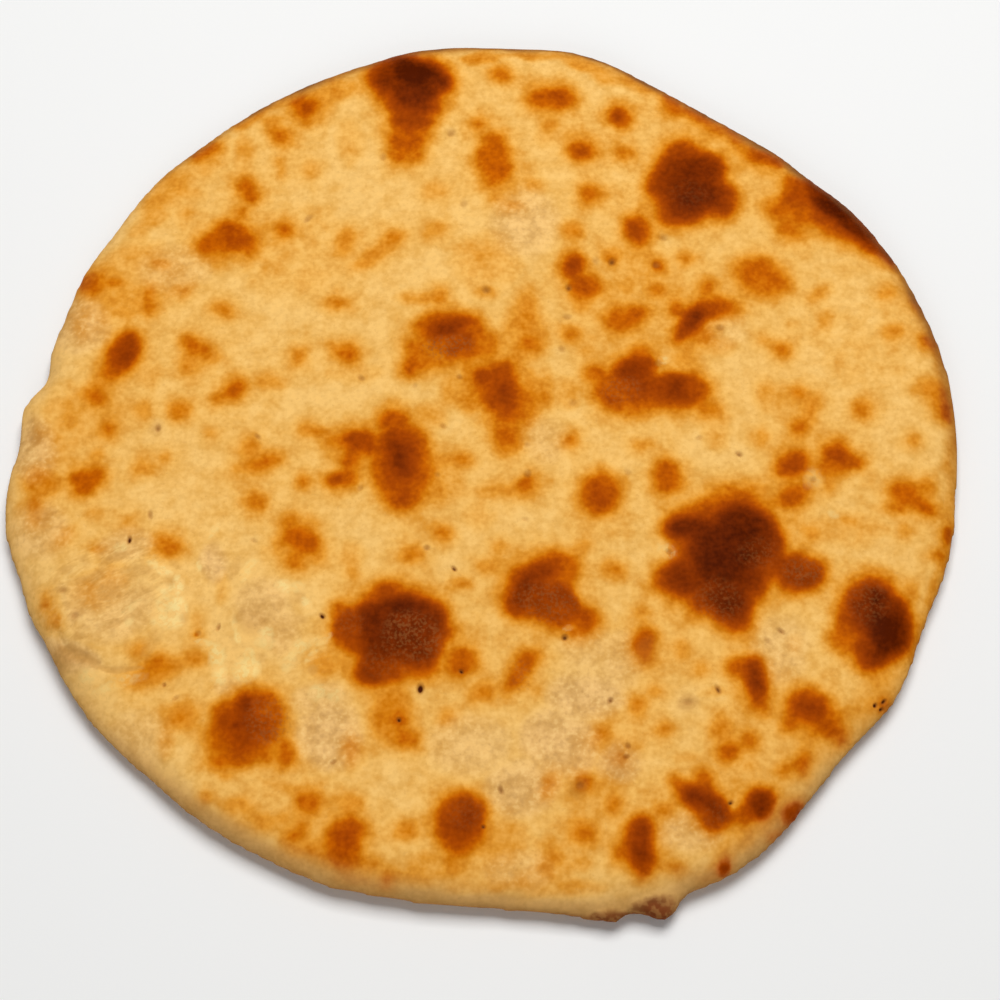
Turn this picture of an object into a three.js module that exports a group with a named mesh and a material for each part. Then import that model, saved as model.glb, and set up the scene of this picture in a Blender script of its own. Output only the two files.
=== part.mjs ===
// A bean-stuffed flatbread: a round of dough closed over mashed beans, pressed flat by hand and baked on a hot
// griddle. It is sealed all round, so it is one solid. The flat underside lies on z = 0 with +Z up, the origin
// is the middle of that underside, and -Y is the edge nearest the viewer.
import * as THREE from "three";
import { mergeVertices } from "three/addons/utils/BufferGeometryUtils.js";

// Driving dimensions, in millimetres.
const MEAN_RADIUS = 139; // from the middle to the widest line of the rim, before the swells below
const CENTRE_THICKNESS = 13.5; // thickest in the middle, over most of the filling
const SHOULDER_THICKNESS = 11; // where the top starts to turn down to the rim
const SHOULDER_WIDTH = 12; // from that turn out to the widest line of the rim
const RIM_HEIGHT = 4.5; // of the widest line of the rim above the table
const FOOT_INSET = 8; // from the widest line of the rim in to where the dough leaves the table

// How finely the surface is divided.
const SECTORS = 160;
const RINGS = { underside: 3, underRim: 3, overRim: 6, top: 24 };

// The hand-pressed outline. Each swell pushes the rim out, or in where negative, as a soft bell.
// Bearings and spreads are in degrees, counter-clockwise from +X, and pushes are in millimetres.
const RIM_SWELLS = [
  { bearing: 14, spread: 24, push: 2.0 }, // full right side
  { bearing: 42, spread: 4, push: -1.2 }, // flat behind the right
  { bearing: 55, spread: 14, push: -3.6 },
  { bearing: 79, spread: 9, push: 3.8 }, // the far crown and its twin
  { bearing: 98, spread: 10, push: 3.2 },
  { bearing: 104, spread: 6, push: -0.6 },
  { bearing: 131, spread: 9, push: -1.4 }, // long flat on the far left
  { bearing: 147, spread: 7, push: -2.6 },
  { bearing: 163, spread: 10, push: -4.4 },
  { bearing: 170.5, spread: 2.6, push: -3.8 }, // tuck where the edge steps in
  { bearing: 175, spread: 2.5, push: 1.2 },
  { bearing: 180, spread: 4, push: -1.6 },
  { bearing: 190, spread: 9, push: 3.4 }, // left corner
  { bearing: 202, spread: 3, push: 1.2 },
  { bearing: 213, spread: 10, push: 1.0 },
  { bearing: 228, spread: 6, push: -0.8 },
  { bearing: 252, spread: 5, push: 1.2 }, // slack front left
  { bearing: 257, spread: 19, push: -1.3 },
  { bearing: 281, spread: 5, push: 2.5 }, // the front right corner, the fullest of all
  { bearing: 293, spread: 2.5, push: -0.9 },
  { bearing: 296, spread: 13, push: 7.2 },
  { bearing: 317, spread: 7, push: -0.9 },
  { bearing: 326, spread: 6, push: 1.5 },
  { bearing: 336, spread: 6, push: -1.2 },
  { bearing: 355, spread: 5, push: -0.8 },
];

// A burst low in the front rim, where the seam gave way and the edge baked into ragged lips.
const BURST_LIPS = [
  { bearing: 285, spread: 2.4, push: 2.4 },
  { bearing: 289.6, spread: 2, push: 6 },
];
const BURST_HEIGHT = 3; // of the lips above the table
const BURST_DEPTH = 4; // how far above and below that they fade

// Blisters that puffed up against the griddle. The place, length, width and rise are in millimetres, and turn
// is how far the long axis lies from +X, in degrees.
const BLISTERS = [
  { x: -24, y: 120, length: 27, width: 24, turn: 80, rise: 1.2 }, // far edge
  { x: 64, y: 86, length: 32, width: 27, turn: 60, rise: 1.5 },
  { x: 109, y: 74, length: 46, width: 17, turn: -52, rise: 1.0 }, // along the right rim
  { x: -77, y: 67, length: 22, width: 17, turn: 15, rise: 0.9 },
  { x: 3, y: 97, length: 19, width: 13, turn: 90, rise: 0.7 },
  { x: 64, y: 40, length: 21, width: 14, turn: 45, rise: 0.8 },
  { x: -107, y: 28, length: 14, width: 13, turn: 0, rise: 0.7 },
  { x: -12, y: 34, length: 25, width: 19, turn: 0, rise: 1.0 }, // the pair in the middle
  { x: 6, y: 17, length: 28, width: 17, turn: -60, rise: 0.9 },
  { x: 48, y: 17, length: 37, width: 19, turn: -5, rise: 1.2 },
  { x: -24, y: -7, length: 33, width: 20, turn: 80, rise: 1.2 },
  { x: 34, y: -19, length: 15, width: 14, turn: 0, rise: 0.7 },
  { x: 68, y: -37, length: 48, width: 37, turn: -60, rise: 1.7 }, // the largest
  { x: 89, y: -43, length: 18, width: 15, turn: 0, rise: 0.9 },
  { x: 111, y: -57, length: 31, width: 22, turn: -50, rise: 1.3 }, // right rim
  { x: 17, y: -49, length: 33, width: 23, turn: -25, rise: 1.3 },
  { x: -26, y: -61, length: 38, width: 31, turn: 15, rise: 1.5 },
  { x: 74, y: -75, length: 21, width: 13, turn: -60, rise: 0.8 },
  { x: -66, y: -88, length: 28, width: 25, turn: 40, rise: 1.4 },
  { x: 90, y: -85, length: 19, width: 14, turn: 0, rise: 0.8 },
  { x: 61, y: -110, length: 23, width: 13, turn: -30, rise: 0.9 },
  { x: -6, y: -116, length: 21, width: 18, turn: 90, rise: 1.1 }, // front
  { x: -39, y: -120, length: 20, width: 17, turn: 50, rise: 1.0 },
  { x: 42, y: -123, length: 21, width: 11, turn: 95, rise: 0.9 },
];

// Two broad bubbles of thin pale skin at the left, flat on top and steep at their edges.
const BUBBLES = [
  { x: -106, y: -54, length: 56, width: 46, turn: -30, rise: 1.5 },
  { x: -58, y: -52, length: 44, width: 42, turn: 20, rise: 1.2 },
];
const BUBBLE_EDGE = 6; // power of the fall towards a bubble's edge; higher is steeper
const BLISTER_EDGE = 2;

// The lazy rise and fall left by the hands that pressed the round: height in millimetres, the length of a wave
// in millimetres, the way it runs in degrees and where it starts in degrees.
const PRESS_WAVES = [
  { height: 0.5, length: 118, runs: 20, starts: 40 },
  { height: 0.4, length: 83, runs: 105, starts: 200 },
  { height: 0.35, length: 61, runs: 155, starts: 310 },
];

const CRUST = { color: 0xe3ad60, roughness: 0.55, metalness: 0 };

const { degToRad, radToDeg, euclideanModulo, smoothstep } = THREE.MathUtils;

// 1 in the middle, fading to nothing a couple of spreads away.
const bell = (distance, spread) => Math.exp(-((distance / spread) ** 2));

// The smaller angle from one bearing to another, in degrees.
const turnBetween = (from, to) => euclideanModulo(to - from + 180, 360) - 180;

// How far a list of swells pushes the rim at a bearing.
function pushAt(swells, bearing) {
  return swells.reduce((sum, s) => sum + s.push * bell(turnBetween(s.bearing, bearing), s.spread), 0);
}

// The height of one dome over a place on the top, none outside its oval.
function domeHeight(dome, edge, x, y) {
  const turn = degToRad(dome.turn);
  const along = (x - dome.x) * Math.cos(turn) + (y - dome.y) * Math.sin(turn);
  const across = (y - dome.y) * Math.cos(turn) - (x - dome.x) * Math.sin(turn);
  const reach = Math.hypot((2 * along) / dome.length, (2 * across) / dome.width);
  return reach < 1 ? dome.rise * (1 - reach ** edge) ** 2 : 0;
}

// The height of one lazy wave over a place on the top.
function waveHeight(wave, x, y) {
  const along = x * Math.cos(degToRad(wave.runs)) + y * Math.sin(degToRad(wave.runs));
  return wave.height * Math.sin((2 * Math.PI * along) / wave.length + degToRad(wave.starts));
}

// All the relief of the top at a place.
function topRelief(x, y) {
  const blisters = Math.max(...BLISTERS.map((dome) => domeHeight(dome, BLISTER_EDGE, x, y)));
  const bubbles = Math.max(...BUBBLES.map((dome) => domeHeight(dome, BUBBLE_EDGE, x, y)));
  const waves = PRESS_WAVES.reduce((sum, wave) => sum + waveHeight(wave, x, y), 0);
  return blisters + bubbles + waves;
}

// Half of the bread's section, from the middle of the underside round the rim to the middle of the top.
function section() {
  const foot = MEAN_RADIUS - FOOT_INSET;
  const shoulder = MEAN_RADIUS - SHOULDER_WIDTH;
  const rise = SHOULDER_THICKNESS - RIM_HEIGHT;
  const point = (radius, height) => new THREE.Vector2(radius, height);
  const stretches = [
    [new THREE.LineCurve(point(0, 0), point(foot, 0)), RINGS.underside],
    [new THREE.EllipseCurve(foot, RIM_HEIGHT, FOOT_INSET, RIM_HEIGHT, -Math.PI / 2, 0), RINGS.underRim],
    [new THREE.EllipseCurve(shoulder, RIM_HEIGHT, SHOULDER_WIDTH, rise, 0, Math.PI / 2), RINGS.overRim],
    [
      new THREE.CubicBezierCurve(
        point(shoulder, SHOULDER_THICKNESS),
        point((shoulder * 2) / 3, SHOULDER_THICKNESS),
        point(shoulder / 2, CENTRE_THICKNESS),
        point(0, CENTRE_THICKNESS),
      ),
      RINGS.top,
    ],
  ];
  const middle = point(0, 0);
  return [middle, ...stretches.flatMap(([curve, rings]) => curve.getSpacedPoints(rings).slice(1))];
}

// The round of dough, turned from its section, with +Z up.
function plainRound() {
  const round = new THREE.LatheGeometry(section(), SECTORS).rotateX(Math.PI / 2);
  round.deleteAttribute("normal");
  round.deleteAttribute("uv");
  return mergeVertices(round);
}

// The round pressed to its outline, with the burst in its rim and the relief of its top.
function pressedRound() {
  const round = plainRound();
  const place = round.getAttribute("position");
  for (let i = 0; i < place.count; i++) {
    const [x, y, z] = [place.getX(i), place.getY(i), place.getZ(i)];
    const bearing = radToDeg(Math.atan2(y, x));
    const share = Math.hypot(x, y) / MEAN_RADIUS;
    const lips = pushAt(BURST_LIPS, bearing) * bell(z - BURST_HEIGHT, BURST_DEPTH) * smoothstep(share, 0.9, 1);
    const stretch = 1 + (pushAt(RIM_SWELLS, bearing) + lips) / MEAN_RADIUS;
    const relief = topRelief(x * stretch, y * stretch) * smoothstep(z, RIM_HEIGHT, SHOULDER_THICKNESS);
    place.setXYZ(i, x * stretch, y * stretch, z + relief);
  }
  return round;
}

// Puts the middle of the bread's width and depth over the origin, and keeps the underside on the table.
function centred(geometry) {
  geometry.computeBoundingBox();
  const middle = geometry.boundingBox.getCenter(new THREE.Vector3());
  return geometry.translate(-middle.x, -middle.y, 0);
}

function flatbread() {
  const geometry = centred(pressedRound());
  geometry.computeVertexNormals();
  const bread = new THREE.Mesh(geometry, new THREE.MeshStandardMaterial(CRUST));
  bread.name = "flatbread";
  return bread;
}

const part = new THREE.Group();
part.name = "bean_stuffed_flatbread";
part.add(flatbread());

export default part;
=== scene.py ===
# %% [markdown]
# # A bean-stuffed flatbread
# A round of dough is closed over mashed beans, pressed flat by hand and baked on a hot griddle. The packed
# model gives its outline, its thickness and its larger blisters. It is the fixed frame of this lesson:
# nothing here moves or resizes it. What is left to make is the skin, with its pebbles, pinholes and folds,
# and the toasting, which runs from cream through gold and orange to char.

# %% Load the frame
import math
import random

import bmesh
import bpy
import numpy as np
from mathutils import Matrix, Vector, noise


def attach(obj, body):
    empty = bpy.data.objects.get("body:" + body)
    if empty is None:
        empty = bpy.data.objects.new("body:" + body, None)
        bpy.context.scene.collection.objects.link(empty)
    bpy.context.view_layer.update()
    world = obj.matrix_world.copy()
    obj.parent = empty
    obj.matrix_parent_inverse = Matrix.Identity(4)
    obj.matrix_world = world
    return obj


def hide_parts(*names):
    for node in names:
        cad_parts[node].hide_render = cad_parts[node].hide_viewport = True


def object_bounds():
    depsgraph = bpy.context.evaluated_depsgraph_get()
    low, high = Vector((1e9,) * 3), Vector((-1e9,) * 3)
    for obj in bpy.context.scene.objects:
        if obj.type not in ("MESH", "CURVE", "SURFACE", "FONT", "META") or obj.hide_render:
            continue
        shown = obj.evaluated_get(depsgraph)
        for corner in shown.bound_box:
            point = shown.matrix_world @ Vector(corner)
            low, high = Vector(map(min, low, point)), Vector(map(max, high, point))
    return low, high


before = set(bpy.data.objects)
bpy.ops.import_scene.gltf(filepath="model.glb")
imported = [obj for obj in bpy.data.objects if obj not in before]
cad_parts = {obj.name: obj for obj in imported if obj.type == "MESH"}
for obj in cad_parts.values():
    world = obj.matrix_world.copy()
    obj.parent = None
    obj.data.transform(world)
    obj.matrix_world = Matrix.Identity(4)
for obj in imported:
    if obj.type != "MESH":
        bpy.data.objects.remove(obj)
cad_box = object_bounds()
MM = 0.001


def in_mm(box):
    """The two corners of a box in millimetres, rounded to be read."""
    return [[round(value / MM, 1) for value in corner] for corner in box]


print("frame:", sorted(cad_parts), "box in mm:", in_mm(cad_box))

# %% [markdown]
# ## The camera
# The photograph looks down on the bread from its near edge. The camera comes first, because the toasted
# spots are placed by the pixels where the photograph shows them, and `in_photo` says which pixel a point of
# the bread falls on. A camera could be set by eye, but then those pixels would slide over the bread.

# %% Set up the camera and the way from a point to a pixel
PHOTO_SIZE = 1000
LENS_MM = 85
SENSOR_MM = 36
ELEVATION = math.radians(66)
DISTANCE = 690 * MM
AIM = Vector((4.7, -17.2, 6.0)) * MM

camera_data = bpy.data.cameras.new("photo_view")
camera_data.lens = LENS_MM
camera_data.sensor_width = SENSOR_MM
camera = bpy.data.objects.new("photo_view", camera_data)
camera.location = AIM + DISTANCE * Vector((0, -math.cos(ELEVATION), math.sin(ELEVATION)))
camera.rotation_euler = (math.pi / 2 - ELEVATION, 0, 0)
bpy.context.scene.collection.objects.link(camera)
bpy.context.scene.camera = camera


def in_photo(points):
    """The photograph's pixel, across and down, that each point falls on."""
    right_up_back = np.array(camera.rotation_euler.to_matrix())
    seen = (points - np.array(camera.location)) @ right_up_back
    pixels = PHOTO_SIZE * LENS_MM / SENSOR_MM / -seen[:, 2]
    return np.stack((PHOTO_SIZE / 2 + seen[:, 0] * pixels, PHOTO_SIZE / 2 - seen[:, 1] * pixels), axis=1)


middle_pixel = in_photo(np.array([[0, 0, cad_box[1].z]]))[0]
print("the bread's middle falls on pixel", middle_pixel.round(1))

# %% [markdown]
# ## An even skin
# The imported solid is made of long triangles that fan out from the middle, too coarse for the skin's detail.
# A Subdivision Surface would keep that fan. A voxel Remesh covers the same form in small squares of one
# size instead. It needs a closed mesh, so the loose triangles of the copy are merged first.

# %% Remesh a copy of the solid
VOXEL = 2.1 * MM
MERGE = 0.01 * MM

merged = bmesh.new()
merged.from_mesh(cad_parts["flatbread"].data)
bmesh.ops.remove_doubles(merged, verts=merged.verts, dist=MERGE)
bread = bpy.data.objects.new("flatbread_crust", bpy.data.meshes.new("solid_copy"))
merged.to_mesh(bread.data)
merged.free()
bpy.context.scene.collection.objects.link(bread)

remesh = bread.modifiers.new("even_skin", "REMESH")
remesh.mode = "VOXEL"
remesh.voxel_size = VOXEL
graph = bpy.context.evaluated_depsgraph_get()
even_mesh = bpy.data.meshes.new_from_object(bread.evaluated_get(graph))
bread.modifiers.remove(remesh)
solid_copy = bread.data
bread.data = even_mesh
bpy.data.meshes.remove(solid_copy)
even_mesh.name = "flatbread_crust"
print("even skin:", len(even_mesh.polygons), "faces")

# %% [markdown]
# ## Smoothing
# The Remesh still shows the solid's flat facets, and has small steps of its own along the rim. Relaxing
# each point towards its neighbours melts them away. A Smooth modifier would do that too, but it shrinks a
# rounded rim. So a round of relaxing there is followed by one that pushes the points back out a little
# further, which keeps the form. The underside needs no more faces, so only the top is split.

# %% Helpers that smooth and split the skin
RELAX, PUSH_BACK = 0.5, -0.53
FLAT_FACES_UP = 0.8
RIM_FOOT = 0.4 * MM

skin = bmesh.new()
skin.from_mesh(even_mesh)


def flat_verts():
    """The skin's points on the flat of the top and inside the rim."""
    skin.normal_update()
    return [v for v in skin.verts if v.normal.z > FLAT_FACES_UP]


def smooth(verts, rounds, factor=RELAX):
    """Relaxes points towards their neighbours, or away from them where the factor is negative."""
    for _ in range(rounds):
        bmesh.ops.smooth_vert(
            skin, verts=verts, factor=factor, use_axis_x=True, use_axis_y=True, use_axis_z=True
        )


def smooth_rim(rounds):
    """Smooths the rounded rim without shrinking it, by pushing it back out after each round."""
    skin.normal_update()
    rim_verts = [v for v in skin.verts if v.normal.z <= FLAT_FACES_UP and v.co.z > RIM_FOOT]
    for _ in range(rounds):
        smooth(rim_verts, 1)
        smooth(rim_verts, 1, PUSH_BACK)


def split(faces):
    """Splits each face into four."""
    edges = list({edge for face in faces for edge in face.edges})
    bmesh.ops.subdivide_edges(skin, edges=edges, cuts=1, use_grid_fill=True)


print("skin to smooth:", len(skin.verts), "points")

# %% Smooth the facets, split the top and ease the foot
FACET_ROUNDS, FINE_ROUNDS = 6, 3
RIM_ROUNDS, FINE_RIM_ROUNDS = 14, 5
TOP_FACES_UP = 0.3
FOOT_HEIGHT = 1.0 * MM

smooth(skin.verts, 1)
smooth(flat_verts(), FACET_ROUNDS)
smooth_rim(RIM_ROUNDS)
split([f for f in skin.faces if f.normal.z > TOP_FACES_UP])
smooth(skin.verts, 1)
smooth(flat_verts(), FINE_ROUNDS)
smooth_rim(FINE_RIM_ROUNDS)
for vert in skin.verts:
    if vert.co.z < FOOT_HEIGHT:
        vert.co.z = max(vert.co.z, 0) ** 2 / FOOT_HEIGHT
print("split skin:", len(skin.faces), "faces")

# %% [markdown]
# ## Pinholes
# Steam left the dough through holes of a millimetre or two. Bump in a material could hint at them, but a
# hole is a shape, so each one is pressed into the mesh later on. Here they are listed as the photograph
# shows them: the pixels across and down, half length, half width, turn in degrees clockwise, and how dark
# the hole is.

# %% List the pinholes
PINHOLES = [
    (420, 689, 4.2, 6.5, 0, 1.0), (399, 720, 3, 3, 0, 0.9), (461, 672, 3.5, 2.5, 30, 0.9),
    (454, 569, 4.5, 2.6, 35, 0.8), (427, 548, 4, 3.5, 0, 0.6), (322, 616, 4, 3, 50, 0.95),
    (565, 638, 4, 4, 0, 0.8), (129, 540, 4.5, 2.6, 100, 0.9), (150, 515, 5.5, 3, 85, 0.55),
    (218, 627, 4.5, 2.2, 110, 0.6), (164, 685, 2.4, 2.4, 0, 0.6), (669, 552, 4, 3, 30, 0.5),
    (486, 290, 6, 4, 20, 0.6), (569, 288, 4, 4, 0, 0.7), (612, 262, 5, 4, -30, 0.7),
    (596, 261, 4, 4, 0, 0.35), (663, 238, 6, 4, 0, 0.45), (361, 378, 4.5, 3.5, 30, 0.5),
    (459, 377, 4, 3, 0, 0.5), (415, 386, 3, 3, 0, 0.3), (443, 426, 4.5, 3, 20, 0.4),
    (360, 488, 3.5, 3.5, 0, 0.4), (437, 475, 4, 3, 30, 0.35), (257, 437, 4.5, 2.6, 40, 0.45),
    (158, 428, 4.5, 3, 90, 0.65), (308, 219, 6, 3, -35, 0.5), (451, 133, 5.5, 4.5, -20, 0.5),
    (383, 157, 3.5, 4, 0, 0.4), (464, 204, 4.5, 4.5, 0, 0.35), (658, 364, 4, 4, 20, 0.5),
    (720, 328, 5.5, 3.5, 10, 0.5), (739, 454, 4.5, 3, 25, 0.65), (699, 438, 4, 2.6, -20, 0.35),
    (813, 480, 4, 4, 0, 0.4), (567, 317, 5, 3.5, 0, 0.45), (562, 349, 4.5, 3.5, 20, 0.4),
    (573, 403, 5, 4, 0, 0.35), (781, 631, 5.5, 2.6, 30, 0.65), (768, 641, 6, 3, 35, 0.35),
    (718, 690, 6, 3, 60, 0.75), (610, 701, 3.5, 3.5, 0, 0.7), (688, 702, 6, 4, 0, 0.4),
    (628, 746, 4, 3, 60, 0.6), (626, 757, 4, 3, -20, 0.6), (580, 786, 5, 4, 0, 0.5),
    (501, 790, 6, 3, 60, 0.65), (731, 803, 3.5, 2.2, -20, 0.85), (875, 706, 3, 3, 0, 0.95),
    (884, 702, 4, 2.6, -60, 0.85), (882, 710, 3, 2.6, 0, 0.85), (527, 445, 4, 3, 0, 0.25),
    (525, 519, 4, 2.6, 0, 0.3), (628, 472, 5, 3, 40, 0.3), (484, 827, 2.4, 2.4, 0, 0.8),
    (527, 474, 4, 5, 0, 0.55), (656, 265, 4.5, 3.5, 0, 0.55), (254, 540, 4, 2.6, 20, 0.35),
    (75, 615, 5, 3, -40, 0.45), (62, 590, 4, 2.6, -20, 0.35), (333, 762, 4, 2.2, -30, 0.5),
    (176, 698, 5, 2, -40, 0.4), (198, 634, 3.6, 3.6, 0, 0.45),
]
print("pinholes:", len(PINHOLES))

# %% [markdown]
# ## Where the griddle toasted it
# Hot spots of the griddle left marks of every size. Random noise could scatter them, but these are the
# marks of one particular bread, so they are laid on one by one, as dabs of a brush. A large mark is a few
# overlapping ovals. The numbers of a dab are the pixels across and down, its half length and half width,
# its turn in degrees clockwise, and how deeply it is toasted in its middle, from 0 for pale dough to 1 for
# char.

# %% Dabs of the far third
FAR_DABS = [
    # the char on the far edge and its tail
    (415, 72, 31, 14, 8, 1.0), (400, 72, 16, 13, 0, 0.95), (384, 78, 11, 15, 0, 0.86),
    (440, 80, 13, 11, 20, 0.9), (414, 90, 28, 15, 0, 0.9), (413, 105, 25, 13, 0, 0.8),
    (410, 120, 21, 13, 0, 0.65), (408, 138, 19, 16, 0, 0.54), (408, 152, 17, 12, 0, 0.46),
    # the round char right of it
    (687, 181, 28, 33, 0, 0.86), (701, 174, 21, 21, 0, 0.84), (668, 180, 14, 22, 0, 0.8),
    (694, 196, 37, 22, -5, 0.86), (668, 216, 13, 9, 10, 0.6), (688, 210, 25, 11, -8, 0.82),
    (681, 152, 17, 11, 0, 0.62),
    # along the right rim
    (673, 105, 14, 7, 40, 0.5), (657, 186, 11, 18, 0, 0.66), (722, 207, 12, 11, -10, 0.74),
    (703, 120, 26, 7, 30, 0.5), (733, 137, 13, 6, 40, 0.5), (714, 131, 16, 6, 25, 0.42),
    (766, 159, 20, 8, 15, 0.62), (748, 151, 16, 10, 25, 0.4), (842, 216, 50, 12, 43, 0.95),
    (793, 209, 28, 18, 5, 0.5), (796, 197, 18, 7, 0, 0.64), (824, 221, 26, 9, 32, 0.56),
    (860, 242, 16, 6, 40, 0.42), (842, 235, 12, 6, 35, 0.52), (796, 185, 14, 8, 30, 0.6),
    (790, 231, 16, 8, 20, 0.48), (887, 255, 12, 5, 48, 0.85),
    # far left
    (303, 107, 13, 10, 0, 0.58), (307, 108, 22, 16, 10, 0.34), (282, 137, 12, 9, 20, 0.44),
    (273, 122, 9, 6, 0, 0.34), (206, 152, 17, 7, -27, 0.48), (248, 191, 15, 10, 62, 0.49),
    (284, 229, 10, 9, 0, 0.49), (240, 214, 9, 9, 0, 0.36), (234, 236, 21, 14, 15, 0.58),
    (214, 242, 17, 9, -20, 0.55), (219, 256, 10, 7, 0, 0.34), (250, 248, 12, 8, 0, 0.42),
    (92, 284, 15, 12, -20, 0.47), (112, 284, 10, 5, 0, 0.46), (162, 265, 12, 6, 0, 0.36),
    (150, 293, 6, 9, 20, 0.47), (151, 304, 9, 14, 15, 0.36), (222, 310, 11, 8, 15, 0.4),
    (187, 192, 13, 7, 0, 0.26), (180, 292, 14, 8, 0, 0.28), (205, 168, 18, 8, -20, 0.24),
    (186, 213, 7, 7, 0, 0.27), (310, 170, 8, 9, 0, 0.27), (280, 165, 6, 14, 0, 0.27),
    (346, 242, 9, 12, 30, 0.36), (336, 303, 12, 7, 0, 0.37),
    # far middle
    (501, 75, 12, 7, 20, 0.48), (550, 99, 24, 12, -5, 0.57), (619, 118, 11, 9, 45, 0.6),
    (582, 150, 14, 10, 10, 0.57), (571, 137, 9, 8, 0, 0.28), (626, 153, 10, 7, 0, 0.38),
    (590, 193, 11, 11, 30, 0.47), (494, 160, 18, 26, 0, 0.53), (497, 171, 13, 13, 0, 0.57),
    (480, 123, 9, 8, -30, 0.36), (550, 125, 10, 6, 0, 0.36), (574, 230, 9, 7, 0, 0.4),
    (638, 230, 13, 13, 0, 0.65), (573, 267, 10, 10, 0, 0.7), (585, 289, 15, 13, 0, 0.56),
    (584, 304, 11, 7, 0, 0.36), (441, 294, 7, 9, 0, 0.36), (362, 263, 14, 6, -10, 0.36),
    (392, 238, 14, 7, -30, 0.36), (376, 255, 20, 7, -20, 0.32), (612, 256, 10, 8, 0, 0.36),
    (436, 192, 14, 8, -10, 0.27), (434, 230, 14, 7, -20, 0.27), (512, 206, 10, 6, 0, 0.27),
    (533, 186, 9, 6, 0, 0.27), (497, 197, 6, 6, 0, 0.3),
    # far right
    (762, 277, 29, 19, 22, 0.5), (656, 265, 6, 6, 0, 0.46), (657, 291, 8, 8, 0, 0.47),
    (626, 291, 7, 6, 0, 0.26), (687, 258, 11, 6, 0, 0.36), (632, 317, 13, 8, -10, 0.58),
    (627, 318, 24, 12, -12, 0.5), (693, 319, 20, 10, -53, 0.8), (716, 309, 16, 11, -20, 0.6),
    (681, 334, 12, 8, -50, 0.57), (734, 308, 9, 10, -20, 0.38), (676, 306, 8, 9, 0, 0.5),
    (706, 289, 7, 11, 0, 0.48), (702, 336, 10, 10, 0, 0.44), (782, 350, 10, 7, 0, 0.47),
    (765, 341, 9, 5, 20, 0.3), (791, 326, 5, 4, 0, 0.22), (816, 295, 12, 6, -15, 0.3),
    (826, 320, 8, 12, 0, 0.22), (887, 293, 10, 6, 0, 0.36), (893, 332, 10, 8, 0, 0.36),
    (915, 304, 5, 10, -30, 0.46), (928, 341, 7, 10, -30, 0.48), (570, 333, 13, 8, 0, 0.38),
    (587, 352, 10, 8, 0, 0.26),
]
print("far dabs:", len(FAR_DABS))

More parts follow.
